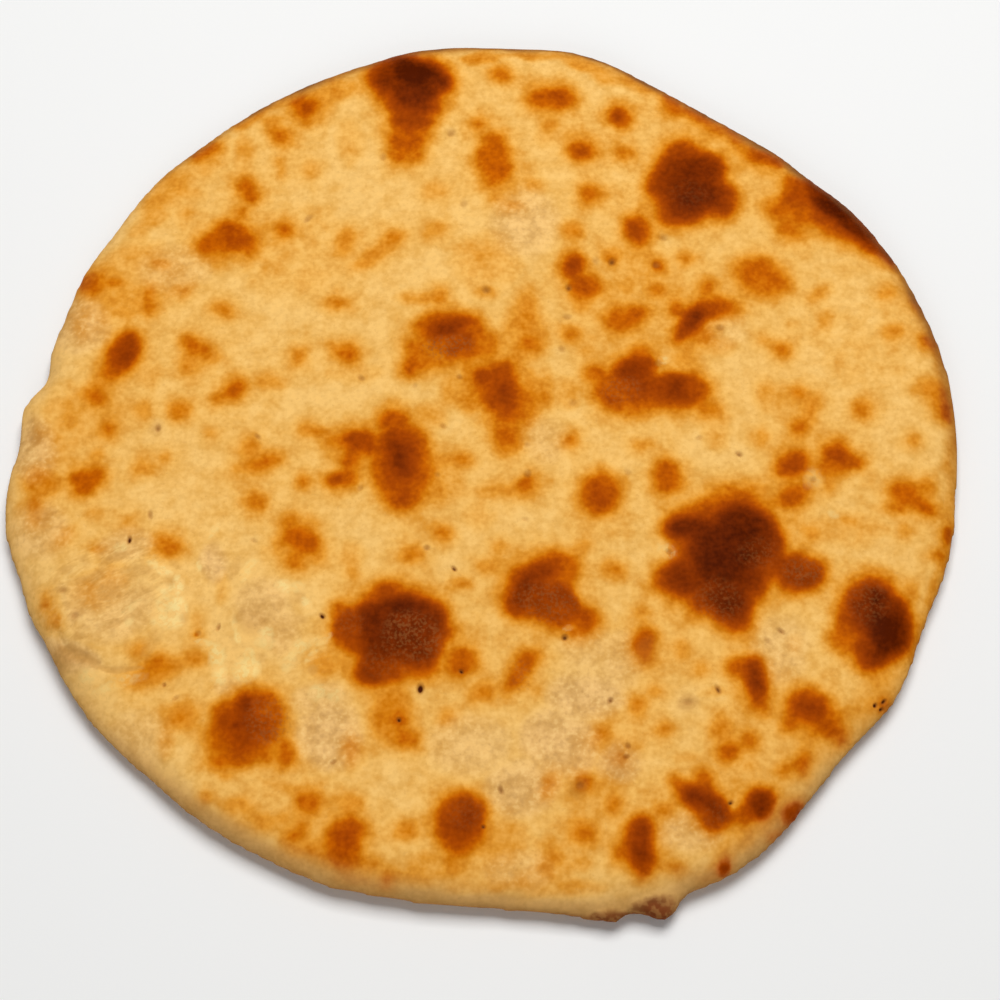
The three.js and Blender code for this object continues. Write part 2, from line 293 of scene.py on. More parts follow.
# %% Dabs of the middle third
MIDDLE_DABS = [
    # the pair in the middle
    (450, 327, 26, 10, -8, 0.77), (450, 333, 35, 19, 5, 0.56), (461, 352, 22, 9, 0, 0.52),
    (416, 350, 12, 10, 0, 0.5), (430, 361, 22, 9, -10, 0.47), (410, 365, 9, 7, -15, 0.58),
    (487, 345, 13, 12, 0, 0.42), (511, 364, 12, 8, 0, 0.28), (530, 342, 11, 8, 0, 0.45),
    (526, 310, 9, 22, 0, 0.3), (500, 390, 22, 24, 15, 0.63), (503, 389, 9, 9, 0, 0.77),
    (483, 377, 8, 7, 0, 0.66), (508, 410, 13, 13, 0, 0.62), (509, 406, 25, 29, 15, 0.44),
    (507, 437, 15, 18, 0, 0.44), (545, 397, 7, 8, 0, 0.38),
    # left of the middle, with its wing
    (402, 455, 18, 28, -10, 0.79), (393, 420, 14, 9, -20, 0.62), (401, 466, 29, 42, 0, 0.62),
    (403, 486, 24, 17, 0, 0.55), (360, 443, 20, 12, 5, 0.66), (340, 442, 16, 7, 12, 0.38),
    (352, 461, 10, 9, 0, 0.52), (342, 480, 18, 9, -15, 0.57), (310, 431, 14, 7, 10, 0.38),
    (431, 468, 8, 16, 0, 0.42),
    # right of the middle
    (634, 370, 20, 14, -10, 0.82), (668, 386, 29, 13, 0, 0.74), (645, 385, 26, 13, 0, 0.72),
    (615, 389, 22, 15, 0, 0.6), (692, 390, 17, 15, 0, 0.6), (640, 352, 11, 9, 0, 0.52),
    (680, 360, 9, 8, 0, 0.3), (650, 397, 52, 13, 0, 0.57), (710, 410, 16, 8, 10, 0.4),
    (598, 376, 16, 9, 0, 0.48), (630, 407, 20, 7, 0, 0.46),
    # the largest, and the wing on its right
    (725, 555, 41, 42, 0, 0.97), (740, 526, 32, 20, 5, 0.95), (692, 527, 26, 12, -3, 0.91),
    (708, 533, 20, 14, -10, 0.93), (676, 526, 9, 8, 0, 0.56), (727, 600, 26, 20, 30, 0.92),
    (703, 601, 13, 12, 30, 0.74), (750, 580, 20, 18, 0, 0.8), (738, 619, 13, 13, 0, 0.74),
    (685, 577, 22, 19, 10, 0.84), (670, 578, 16, 15, 0, 0.62), (764, 540, 16, 26, -15, 0.86),
    (726, 552, 56, 60, 10, 0.6), (770, 566, 13, 8, 0, 0.7), (740, 506, 32, 8, -8, 0.46),
    (735, 492, 32, 9, -4, 0.36), (778, 500, 12, 6, -20, 0.42), (742, 497, 14, 6, 0, 0.46),
    (727, 489, 13, 7, 0, 0.46), (798, 573, 24, 17, 0, 0.74), (777, 566, 14, 12, 0, 0.74),
    # on the right rim
    (885, 629, 24, 31, -22, 0.98), (888, 632, 15, 20, -20, 1.0), (876, 598, 16, 15, 30, 0.93),
    (861, 612, 13, 23, -10, 0.85), (870, 587, 14, 10, -20, 0.74), (896, 610, 9, 14, -20, 0.86),
    (876, 656, 16, 12, -20, 0.86), (867, 646, 13, 14, 0, 0.72), (884, 678, 10, 12, 15, 0.3),
    (848, 622, 13, 26, -5, 0.57), (842, 640, 12, 16, -10, 0.48), (912, 588, 6, 11, -20, 0.3),
    # small ones on the right
    (602, 494, 19, 21, 0, 0.62), (667, 477, 16, 15, 0, 0.54), (793, 465, 16, 13, -20, 0.66),
    (794, 496, 17, 11, -15, 0.57), (838, 455, 18, 12, 25, 0.61), (829, 486, 6, 10, 20, 0.36),
    (925, 492, 12, 14, 10, 0.38), (832, 468, 16, 10, 0, 0.48), (857, 462, 9, 7, 20, 0.54),
    (812, 463, 8, 4, 0, 0.4), (640, 445, 12, 5, 0, 0.34), (613, 569, 13, 7, 10, 0.38),
    (643, 613, 10, 7, 0, 0.28), (812, 532, 10, 6, 15, 0.36), (850, 521, 8, 5, 0, 0.32),
    (905, 494, 17, 12, 20, 0.53), (926, 508, 13, 8, 20, 0.54), (904, 508, 22, 6, 5, 0.4),
    (903, 532, 8, 8, 0, 0.28), (947, 535, 4, 9, 5, 0.5), (935, 556, 10, 6, 0, 0.36),
    (799, 394, 8, 6, 0, 0.47), (799, 427, 9, 9, -30, 0.48), (810, 411, 7, 17, 10, 0.38),
    (864, 411, 11, 10, 0, 0.38), (912, 441, 8, 6, 0, 0.38), (763, 437, 7, 9, 20, 0.34),
    (765, 390, 8, 9, 0, 0.28), (946, 411, 5, 13, -15, 0.6), (939, 397, 10, 18, -20, 0.42),
    (930, 388, 12, 8, 0, 0.38), (570, 441, 8, 8, 0, 0.48), (582, 543, 10, 5, -15, 0.33),
    # small ones in the middle
    (463, 461, 9, 6, -5, 0.45), (448, 461, 14, 6, 0, 0.33), (527, 483, 10, 8, -30, 0.42),
    (519, 487, 24, 7, -10, 0.32), (490, 490, 34, 9, -8, 0.2), (443, 534, 8, 7, 30, 0.46),
    (411, 556, 14, 10, -20, 0.42), (352, 572, 8, 8, 0, 0.32), (487, 566, 13, 9, -10, 0.28),
    (464, 585, 14, 7, 0, 0.29), (499, 547, 9, 8, -20, 0.3),
    # small ones on the left
    (124, 353, 19, 14, -60, 0.74), (112, 371, 10, 9, -30, 0.52), (101, 385, 9, 12, 30, 0.36),
    (95, 396, 11, 11, -30, 0.48), (109, 431, 8, 9, 0, 0.46), (194, 346, 16, 10, 22, 0.49),
    (190, 364, 12, 10, 0, 0.37), (210, 357, 9, 8, 20, 0.35), (234, 389, 14, 9, -28, 0.49),
    (220, 398, 10, 7, -20, 0.36), (271, 383, 14, 7, 0, 0.28), (180, 409, 12, 8, 0, 0.43),
    (142, 410, 10, 8, -20, 0.33), (213, 434, 7, 5, 0, 0.33), (249, 449, 10, 9, 0, 0.37),
    (300, 356, 6, 10, 0, 0.37), (347, 352, 15, 8, 15, 0.49), (97, 455, 8, 7, -30, 0.33),
    (86, 481, 19, 13, -22, 0.53), (42, 482, 18, 15, 0, 0.36), (36, 510, 9, 17, 0, 0.35),
    (263, 463, 20, 8, -15, 0.48), (238, 469, 10, 6, -15, 0.35), (303, 481, 6, 8, 0, 0.46),
    (257, 502, 11, 10, 20, 0.36), (301, 541, 18, 14, 25, 0.58), (290, 522, 10, 8, -20, 0.4),
    (296, 562, 9, 9, 0, 0.46), (312, 522, 11, 7, 20, 0.3), (318, 552, 10, 12, 0, 0.36),
    (280, 545, 8, 14, 0, 0.3), (167, 546, 14, 12, 10, 0.43), (130, 522, 8, 12, 20, 0.22),
    (94, 513, 9, 8, 0, 0.22), (64, 536, 11, 8, -40, 0.28), (143, 467, 11, 8, 0, 0.3),
    (165, 456, 7, 7, 0, 0.28), (45, 603, 5, 8, 0, 0.36), (53, 619, 6, 10, -20, 0.3),
    (97, 549, 7, 4, -20, 0.3),
]
print("middle dabs:", len(MIDDLE_DABS))

# %% Dabs of the near third
NEAR_DABS = [
    # the boot
    (529, 582, 28, 12, -53, 0.79), (519, 600, 11, 9, 0, 0.78), (562, 597, 20, 9, 45, 0.77),
    (545, 596, 18, 14, 0, 0.74), (556, 612, 34, 12, 12, 0.67), (585, 620, 14, 11, 10, 0.63),
    (560, 558, 18, 8, 8, 0.61), (571, 568, 7, 10, 0, 0.54), (530, 592, 25, 29, 0, 0.55),
    (558, 580, 16, 14, 0, 0.56), (548, 571, 14, 11, 0, 0.74), (517, 608, 10, 10, 0, 0.74),
    (578, 630, 14, 8, 0, 0.48),
    # the broad dark one, and those round it
    (405, 634, 40, 33, 0, 0.9), (406, 606, 30, 12, 3, 0.95), (420, 668, 18, 10, 0, 0.6),
    (380, 646, 23, 24, 0, 0.9), (430, 622, 17, 21, 0, 0.87), (418, 655, 17, 13, 0, 0.83),
    (352, 630, 20, 22, 0, 0.7), (386, 592, 19, 10, -12, 0.64), (372, 671, 18, 14, 10, 0.72),
    (388, 674, 16, 10, 0, 0.68), (447, 634, 9, 11, 0, 0.58), (340, 615, 9, 12, 0, 0.52),
    (463, 660, 17, 12, -10, 0.5), (523, 670, 24, 10, -55, 0.53), (530, 687, 12, 9, 0, 0.25),
    (509, 688, 9, 7, 0, 0.36), (482, 690, 13, 10, -10, 0.38), (447, 716, 9, 8, 0, 0.34),
    (644, 643, 12, 14, 0, 0.6), (646, 655, 11, 10, 0, 0.5), (397, 718, 12, 11, 0, 0.47),
    (405, 738, 14, 9, 10, 0.42), (392, 715, 20, 30, 0, 0.38), (352, 748, 8, 17, 5, 0.32),
    (325, 665, 18, 11, -20, 0.3), (382, 622, 26, 26, 0, 0.9),
    # front left
    (244, 725, 20, 27, 5, 0.72), (245, 729, 31, 30, 0, 0.63), (264, 700, 16, 9, 0, 0.58),
    (216, 738, 10, 16, 0, 0.48), (222, 712, 10, 8, 0, 0.5), (276, 714, 9, 8, 0, 0.52),
    (237, 725, 5, 4, 0, 0.95), (247, 705, 9, 9, 0, 0.85), (284, 752, 11, 15, -25, 0.48),
    (266, 757, 8, 8, 0, 0.46), (220, 765, 6, 5, 0, 0.62), (230, 760, 24, 8, 0, 0.52),
    (180, 720, 8, 8, 0, 0.46), (182, 715, 15, 14, -10, 0.37), (158, 666, 14, 11, -30, 0.46),
    (198, 634, 2.6, 2.6, 0, 0.5), (197, 618, 6, 9, 0, 0.2), (158, 670, 28, 11, -18, 0.37),
    (134, 682, 14, 8, -10, 0.34), (192, 659, 12, 8, 0, 0.34), (140, 651, 9, 8, 0, 0.34),
    (308, 802, 13, 12, -10, 0.48), (304, 825, 5, 3, 50, 0.56), (294, 836, 7, 2.5, -20, 0.68),
    (297, 842, 18, 10, 0, 0.36), (345, 839, 17, 22, 15, 0.62), (345, 860, 20, 12, 10, 0.44),
    (355, 878, 20, 7, 10, 0.34), (318, 850, 16, 10, 10, 0.34), (387, 882, 8, 11, 0, 0.47),
    (406, 830, 13, 9, 10, 0.36), (207, 797, 8, 6, 0, 0.34), (240, 806, 16, 9, 0, 0.32),
    (265, 820, 14, 9, 20, 0.3), (283, 819, 5, 2.5, -10, 0.54), (352, 803, 12, 9, 0, 0.34),
    (297, 852, 12, 6, 0, 0.34), (370, 866, 10, 8, 0, 0.34),
    # front middle
    (461, 823, 25, 30, 5, 0.68), (467, 818, 9, 9, 0, 0.78), (454, 866, 10, 10, 0, 0.36),
    (583, 782, 9, 9, -20, 0.46), (549, 787, 9, 13, 10, 0.37), (601, 736, 9, 8, -20, 0.32),
    (637, 707, 10, 9, 0, 0.42), (654, 692, 8, 7, 0, 0.36), (662, 730, 8, 8, 0, 0.36),
    (618, 760, 11, 7, 0, 0.35), (582, 831, 15, 13, 10, 0.44), (554, 857, 8, 6, -10, 0.28),
    (549, 866, 16, 10, -20, 0.25), (613, 804, 8, 11, 0, 0.42), (523, 883, 6, 7, 0, 0.27),
    # front right
    (641, 846, 13, 28, 0, 0.79), (645, 849, 7, 12, 0, 0.86), (634, 842, 11, 18, 0, 0.58),
    (619, 853, 8, 10, 0, 0.48), (663, 808, 10, 9, -20, 0.38), (675, 869, 18, 7, 5, 0.3),
    (884, 704, 9, 10, 20, 0.42), (869, 704, 8, 9, 0, 0.3), (704, 801, 33, 13, 30, 0.66),
    (710, 804, 19, 9, 36, 0.78), (696, 805, 14, 8, 50, 0.72), (703, 779, 12, 7, 25, 0.5),
    (700, 800, 20, 9, 35, 0.84), (677, 781, 9, 5, 35, 0.5), (716, 811, 14, 9, 20, 0.82),
    (735, 815, 12, 6, 10, 0.55), (712, 821, 15, 8, 20, 0.6), (760, 804, 13, 14, 0, 0.88),
    (750, 812, 12, 10, 0, 0.62), (793, 813, 14, 8, -42, 0.7), (807, 708, 20, 17, 10, 0.7),
    (828, 728, 13, 10, 20, 0.52), (789, 724, 9, 9, 0, 0.5), (818, 718, 27, 20, 10, 0.45),
    (800, 696, 9, 7, 0, 0.3), (842, 738, 11, 14, 0, 0.4), (728, 750, 11, 11, -20, 0.53),
    (749, 741, 9, 8, -20, 0.48), (721, 728, 10, 13, 0, 0.37), (737, 688, 8, 9, 0, 0.28),
    (748, 764, 10, 7, 0, 0.3), (803, 764, 8, 14, 0, 0.48), (786, 768, 9, 8, 0, 0.36),
    (755, 679, 22, 9, 75, 0.76), (739, 667, 12, 10, 20, 0.58), (758, 698, 8, 12, 0, 0.44),
    (765, 711, 6, 8, 0, 0.38), (680, 650, 9, 13, 0, 0.31), (701, 669, 9, 7, 0, 0.33),
    (723, 868, 6, 10, 10, 0.8), (712, 879, 10, 3, -25, 0.44), (775, 835, 10, 8, -45, 0.5),
]
print("near dabs:", len(NEAR_DABS))

# %% Broad blushes between the marks
# The blushes along the near rim, from about 860 to 890 pixels down, are partly painted shade where the rim
# turns away from the light.
BLUSH_DABS = [
    (165, 195, 34, 16, -52, 0.26), (128, 262, 36, 14, -25, 0.22), (252, 117, 24, 7, -32, 0.34),
    (280, 103, 14, 5, -25, 0.3), (140, 232, 8, 12, 0, 0.2), (540, 56, 70, 4, 2, 0.3),
    (585, 66, 24, 5, 15, 0.34), (606, 78, 16, 6, 20, 0.3), (646, 92, 12, 5, 30, 0.3),
    (372, 74, 16, 6, -10, 0.26), (478, 59, 20, 6, 0, 0.36), (485, 292, 14, 7, 0, 0.26),
    (870, 362, 40, 26, 0, 0.1), (468, 398, 10, 18, 0, 0.34), (560, 888, 50, 9, 0, 0.22),
    (645, 414, 24, 6, 0, 0.28), (540, 876, 22, 10, 0, 0.2), (484, 866, 18, 14, 0, 0.2),
    (300, 255, 60, 40, 0, 0.14), (325, 95, 38, 12, -15, 0.3), (245, 155, 9, 24, 0, 0.22),
    (640, 85, 36, 9, 27, 0.27), (610, 160, 30, 6, 0, 0.18), (115, 300, 34, 26, -10, 0.24),
    (486, 262, 26, 24, 0, 0.22), (310, 278, 24, 14, 0, 0.18), (350, 556, 12, 12, 0, 0.24),
    (478, 514, 14, 14, 0, 0.2), (222, 588, 6, 16, 10, 0.2), (350, 142, 12, 22, 0, 0.18),
    (355, 372, 32, 10, 0, 0.18), (545, 136, 10, 10, 0, 0.2), (548, 388, 10, 18, 0, 0.24),
    (795, 645, 7, 12, 0, 0.22), (480, 885, 60, 8, 0, 0.22), (420, 876, 30, 10, 0, 0.3),
    (525, 330, 20, 28, 0, 0.3), (640, 270, 24, 20, 0, 0.2), (590, 340, 12, 10, 0, 0.16),
    (466, 374, 7, 24, 0, 0.32), (531, 400, 9, 30, 0, 0.34), (440, 482, 22, 20, 0, 0.26),
    (422, 297, 24, 7, 0, 0.26), (720, 345, 18, 8, 0, 0.25), (790, 400, 34, 16, 0, 0.2),
    (90, 415, 40, 28, 0, 0.22), (60, 445, 24, 22, 0, 0.2), (100, 585, 30, 18, -30, 0.22),
    (452, 390, 12, 18, 0, 0.28), (430, 415, 16, 12, 0, 0.26), (568, 392, 10, 18, 0, 0.24),
    (85, 322, 14, 20, 0, 0.2), (148, 375, 12, 18, 0, 0.2), (600, 520, 30, 22, 0, 0.14),
    (850, 530, 34, 16, 0, 0.18), (250, 820, 36, 14, 25, 0.2), (440, 872, 50, 10, 0, 0.18),
    (340, 850, 30, 18, 15, 0.26), (748, 833, 28, 14, -35, 0.28), (715, 692, 18, 6, 0, 0.2),
    (690, 757, 18, 6, 0, 0.2), (822, 745, 30, 18, -42, 0.26), (868, 700, 13, 30, 20, 0.2),
    (555, 852, 30, 14, -10, 0.2), (496, 844, 26, 24, 0, 0.25), (620, 740, 40, 24, 0, 0.15),
    (600, 795, 34, 24, 0, 0.16), (716, 430, 12, 20, 0, 0.2), (690, 355, 10, 12, 0, 0.24),
    (530, 416, 8, 12, 0, 0.26), (425, 862, 18, 12, 0, 0.24), (575, 862, 18, 10, 0, 0.24),
    (272, 788, 30, 12, 0, 0.16), (165, 742, 9, 18, 0, 0.2), (225, 776, 10, 5, 0, 0.34),
]
print("blushes:", len(BLUSH_DABS))

# %% [markdown]
# ## Paler, duller and shinier places, with painted light and shade
# Between the marks the dough isn't one colour. Where its skin is thin it has dull patches, and burst bubbles
# left olive specks. At the left the buttered skin has bright spots of painted highlight, dark folds of
# painted shade and fine streaks of painted light and shade. The largest chars carry fine specks of painted
# sheen, and the burst in the front rim is a rusty brown. One noise could vary them all, but each has its own
# places on this bread. So each finish is a list of soft dabs like those above, with a strength from 0 to 1 at
# the end.

# %% Dabs of the other finishes
# The dab at 70, 655 is painted shade: the shadow along the crease below the bubble at the left.
THIN_DABS = [
    (262, 604, 22, 20, 0, 0.6), (213, 563, 10, 14, -10, 0.9), (228, 684, 12, 8, -20, 0.5),
    (330, 735, 26, 30, 0, 0.9), (322, 700, 24, 14, 0, 0.6), (560, 742, 34, 28, 20, 0.9),
    (585, 697, 34, 18, 0, 0.9), (522, 788, 30, 22, 0, 0.8), (470, 745, 36, 24, 0, 0.5),
    (619, 763, 18, 14, 0, 0.8), (590, 650, 24, 18, 0, 0.4), (80, 325, 22, 22, 0, 0.7),
    (70, 655, 26, 12, 20, 0.9), (40, 530, 22, 22, 0, 0.6), (35, 450, 16, 28, 0, 0.8),
    (125, 545, 26, 12, -10, 0.6), (525, 222, 28, 26, 0, 0.6), (545, 440, 16, 18, 0, 0.4),
    (620, 662, 18, 24, 0, 0.5), (780, 650, 24, 28, 0, 0.5), (722, 330, 24, 14, 0, 0.3),
    (690, 832, 26, 16, 0, 0.6), (520, 870, 30, 14, 0, 0.4), (175, 270, 30, 18, 0, 0.4),
    (108, 606, 40, 30, 0, 0.5), (278, 628, 15, 20, 0, 0.55), (140, 740, 26, 24, 0, 0.4),
]
# The last dab, at 70, 655, is painted shade along the crease below the bubble.
OLIVE_DABS = [
    (688, 702, 9, 7, 0, 0.8), (617, 762, 10, 13, 0, 0.6), (578, 788, 8, 10, 0, 0.8),
    (648, 652, 12, 13, 0, 0.5), (77, 614, 7, 5, -40, 0.7), (62, 590, 5, 4, -20, 0.5),
    (158, 428, 5, 5, 0, 0.5), (45, 515, 10, 7, -30, 0.5), (36, 438, 7, 6, 0, 0.6), (300, 598, 6, 5, 0, 0.5),
    (252, 618, 14, 8, 0, 0.4), (70, 655, 18, 7, 15, 0.7),
]
# Bright spots of painted highlight where light glints on the buttered skin, and pale painted highlights on
# the lips of some pinholes. The same dabs make the skin glossier and give it a thin coat.
BUTTER_GLOSS_AND_HIGHLIGHT_DABS = [
    (177, 588, 5, 9, 0, 0.9), (165, 592, 5, 6, 0, 0.7), (177, 607, 7, 7, 0, 1.0), (165, 605, 6, 7, 0, 0.7),
    (168, 620, 14, 6, -5, 0.7), (165, 573, 7, 4, 30, 0.7), (154, 565, 6, 3, 30, 0.6),
    (199, 566, 2.5, 6, 0, 0.6), (234, 624, 2.4, 10, -8, 0.55), (237, 637, 2, 6, -15, 0.7),
    (217, 655, 7, 9, 0, 0.8), (221, 673, 6, 8, 0, 0.7), (248, 655, 4, 5, 0, 0.6), (247, 670, 9, 10, 0, 0.8),
    (282, 587, 6, 5, 0, 0.8), (298, 588, 8, 4, 0, 0.4), (300, 646, 6, 5, 0, 0.7), (305, 602, 4, 3, 0, 0.6),
    (312, 658, 9, 3, -38, 0.45), (324, 640, 9, 3, -45, 0.35), (311, 644, 8, 3, -45, 0.3),
    (317, 692, 6, 8, 0, 0.6), (334, 696, 8, 6, 0, 0.5), (268, 633, 5, 6, 30, 0.7), (264, 644, 8, 5, 0, 0.5),
    (206, 644, 11, 3, 10, 0.5), (290, 660, 4, 12, 25, 0.4), (250, 562, 10, 3, -35, 0.4),
    (245, 572, 3, 8, 20, 0.4), (215, 532, 3, 9, 30, 0.4), (120, 547, 8, 4, 0, 0.5),
    (132, 606, 10, 3, -30, 0.4), (128, 622, 8, 3, -35, 0.4), (118, 684, 26, 5, -18, 0.4),
    (86, 676, 6, 6, 0, 0.4), (667, 551, 6, 5, 20, 0.45), (661, 547, 4, 4, 0, 0.3),
    (813, 480, 7, 7, 0, 0.25), (833, 516, 6, 3.5, 20, 0.45), (566, 628, 5, 2, 0, 0.4),
    (663, 360, 5, 3, 0, 0.5),
]
# Dark folds: painted shade along the creases of the buttered skin. They are also pressed in a little as
# relief.
FOLD_AND_SHADE_DABS = [
    (118, 558, 20, 3.5, -22, 0.7), (137, 570, 16, 4, -5, 0.6), (98, 574, 9, 4, -45, 0.7),
    (111, 590, 12, 6, 0, 0.6), (115, 622, 10, 3, -25, 0.6), (138, 612, 8, 3, -40, 0.5),
    (62, 591, 8, 3, -10, 0.7), (75, 602, 12, 4, -20, 0.4), (79, 635, 7, 3, -10, 0.7),
    (70, 649, 12, 5, 5, 1.0), (84, 659, 14, 5, 15, 1.0), (116, 668, 26, 3.5, 2, 0.8),
    (60, 662, 10, 8, 40, 0.8), (84, 612, 5, 3, -30, 0.5), (64, 570, 7, 3, -10, 0.5),
    (86, 560, 4, 4, 0, 0.4), (80, 578, 14, 4, -25, 0.4), (150, 645, 5, 14, 25, 0.4),
    (233, 566, 4, 11, 20, 0.5), (215, 546, 4, 6, 0, 0.4), (183, 617, 4, 4, 0, 0.5),
    (237, 620, 5, 4, 0, 0.6), (265, 620, 4, 5, 10, 0.6), (252, 628, 10, 6, 0, 0.4),
    (300, 618, 5, 4, 0, 0.5), (312, 671, 5, 3, -20, 0.6), (245, 592, 5, 4, 0, 0.4),
    (278, 604, 4, 4, 0, 0.5), (258, 606, 8, 5, 0, 0.3), (260, 660, 5, 4, 0, 0.4), (175, 566, 6, 3, 30, 0.5),
    (168, 583, 4, 4, 0, 0.5),
]
# Fine specks of painted sheen on the largest chars: light glinting off their pebbled crust, laid into the
# colour.
PAINTED_SHEEN_DABS = [
    (757, 553, 16, 12, 0, 0.5), (718, 600, 20, 17, 0, 0.6), (412, 636, 26, 20, 25, 1.0),
    (385, 660, 18, 14, 0, 0.5), (545, 602, 28, 14, 10, 0.8), (868, 602, 14, 18, 0, 0.6),
    (447, 346, 24, 8, 0, 1.0), (268, 722, 18, 18, 0, 0.8), (690, 195, 18, 10, 0, 0.25),
    (802, 572, 16, 10, 0, 0.8), (622, 390, 18, 10, 0, 0.7), (350, 622, 12, 10, 0, 0.45),
    (522, 676, 10, 12, 0, 0.5), (715, 815, 10, 8, 0, 0.4), (466, 815, 14, 12, 0, 0.4),
]
BURST_DABS = [
    (656, 908, 19, 10, 0, 1.0), (640, 907, 9, 6, 0, 0.8), (612, 915, 22, 4.5, 0, 0.9),
    (590, 916, 40, 2.5, 0, 0.4), (669, 904, 7, 8, 0, 0.7),
]
# Where the buttered skin has streaks. They are raised a little as relief, and the material paints highlights
# and shade along them.
STREAK_DABS = [
    (100, 590, 62, 40, -30, 1.0), (120, 560, 50, 16, -15, 0.7), (150, 610, 30, 40, 0, 0.5),
    (60, 640, 30, 22, 30, 0.5), (308, 652, 26, 22, -40, 0.5), (238, 575, 22, 34, 0, 0.3),
    (205, 690, 40, 20, 0, 0.2), (150, 540, 40, 20, 0, 0.2),
]
print("dabs of thin dough:", len(THIN_DABS), "and of butter:", len(BUTTER_GLOSS_AND_HIGHLIGHT_DABS))

# %% [markdown]
# ## More faces where they are needed
# A pinhole or a narrow fold needs smaller faces than the rest of the skin. Splitting all of it would make a
# very heavy mesh, so only the faces near the smallest things are split: once around them all, and once more
# close to the pinholes.

# %% Split the skin around the smallest things
WIDE_MARGIN, TIGHT_MARGIN = 4, 2
NARROW = 4.5


def reach(places, across, down, length, width, turn):
    """How far each place is from the middle of an oval, where 1 is the oval's edge."""
    cos, sin = math.cos(math.radians(turn)), math.sin(math.radians(turn))
    x, y = places[:, 0] - across, places[:, 1] - down
    return np.hypot((x * cos + y * sin) / length, (y * cos - x * sin) / width)


def split_around(ovals, margin):
    """Splits the faces of the top that lie in or near any of the ovals."""
    up_faces = [f for f in skin.faces if f.normal.z > TOP_FACES_UP]
    face_places = in_photo(np.array([f.calc_center_median() for f in up_faces]))
    near = np.zeros(len(up_faces), bool)
    for across, down, length, width, turn, _ in ovals:
        near |= reach(face_places, across, down, length + margin, width + margin, turn) < 1
    split([face for face, is_near in zip(up_faces, near) if is_near])


narrow_dabs = [dab for dab in BUTTER_GLOSS_AND_HIGHLIGHT_DABS + FOLD_AND_SHADE_DABS if min(dab[2:4]) < NARROW]
split_around(PINHOLES + narrow_dabs, WIDE_MARGIN)
split_around(PINHOLES, TIGHT_MARGIN)
skin.to_mesh(bread.data)
skin.free()
print("narrow dabs:", len(narrow_dabs), "and the skin's faces:", len(bread.data.polygons))

# %% [markdown]
# ## From dabs to a field
# Every point of the skin gets a number for each finish. A dab is deepest in its middle, a little paler at
# the oval's edge, and fades over a few pixels outside it, so a char passes through brown and orange on its
# way to pale dough, as it does on the bread. The points are first pushed about a little by noise, so that
# no edge is a clean oval. A painted image could hold this too, but a number kept on the mesh itself needs
# no picture file.

# %% Read the points and make noise over them
NOISE_SHIFT = Vector((13.7, 7.1, 3.3))
WARP_GRAIN, WARP_PIXELS, WARP_SEEDS = 7 * MM, 4.0, (1, 2)
FINE_WARP_GRAIN, FINE_WARP_PIXELS, FINE_WARP_SEEDS = 3.0 * MM, 1.0, (3, 4)
FACES_UP = (-0.35, 0.1)


def read_points(name):
    """A vector of every point of the bread's mesh, such as its place or normal."""
    flat = np.zeros(len(bread.data.vertices) * 3)
    bread.data.vertices.foreach_get(name, flat)
    return flat.reshape(-1, 3)


def noise_over(points, grain, seed):
    """Smooth noise of about -1 to 1 at each point, with lumps about one grain across."""
    shift = NOISE_SHIFT * seed
    return np.array([noise.noise(Vector(point) / grain + shift) for point in points])


def step(values, low, high):
    """0 below low, 1 above high, and a smooth rise between."""
    share = np.clip((values - low) / (high - low), 0, 1)
    return share * share * (3 - 2 * share)


points = read_points("co")
normals = read_points("normal")
places = in_photo(points)
warp = [WARP_PIXELS * noise_over(points, WARP_GRAIN, seed) for seed in WARP_SEEDS]
fine_warp = [FINE_WARP_PIXELS * noise_over(points, FINE_WARP_GRAIN, seed) for seed in FINE_WARP_SEEDS]
warped = places + np.stack(warp, axis=1) + np.stack(fine_warp, axis=1)
faces_up = step(normals[:, 2], *FACES_UP)
print("points:", len(points), "pushed by up to", np.abs(warped - places).max().round(1), "pixels")

# %% Lay the dabs on the points
EDGE_FADE = 8.0
SMALL_FADE = 0.75
DOME, DOME_POWER = 0.3, 4
JOIN_POWER = 30
SKIRT_GROWTH, SKIRT_FADE, SKIRT_SHARE = 6.0, 12.0, 0.5
BLUSH_FADE = 24.0
BURST_FADE = 4.0
STRONG = 0.3
TOP_FINISHES = {
    "thin": (THIN_DABS, 14),
    "olive": (OLIVE_DABS, 4),
    "butter_gloss_and_painted_highlight": (BUTTER_GLOSS_AND_HIGHLIGHT_DABS, 6),
    "painted_sheen": (PAINTED_SHEEN_DABS, 10),
    "streak": (STREAK_DABS, 20),
    "fold_and_painted_shade": (FOLD_AND_SHADE_DABS, 5),
}


def dabbed(places, dabs, fade=EDGE_FADE, growth=0.0):
    """The strength of a list of dabs at each place: domed inside each oval, fading outside it."""
    total = np.zeros(len(places))
    for across, down, length, width, turn, strength in dabs:
        length, width = length + growth, width + growth
        soft = min(fade, SMALL_FADE * min(length, width))
        ring = reach(places, across, down, length, width, turn)
        away = np.hypot(places[:, 0] - across, places[:, 1] - down)
        outside = away - away / np.maximum(ring, 1)
        deep = strength * (1 - DOME * np.minimum(ring, 1) ** DOME_POWER)
        total += (deep * step(-outside, -soft, 0)) ** JOIN_POWER
    return total ** (1 / JOIN_POWER)


def toasted_by(places, dabs):
    """How deeply dabs toast each place: solid spots with a soft orange skirt."""
    skirts = SKIRT_SHARE * dabbed(places, dabs, fade=SKIRT_FADE, growth=SKIRT_GROWTH)
    return np.maximum(dabbed(places, dabs), skirts)


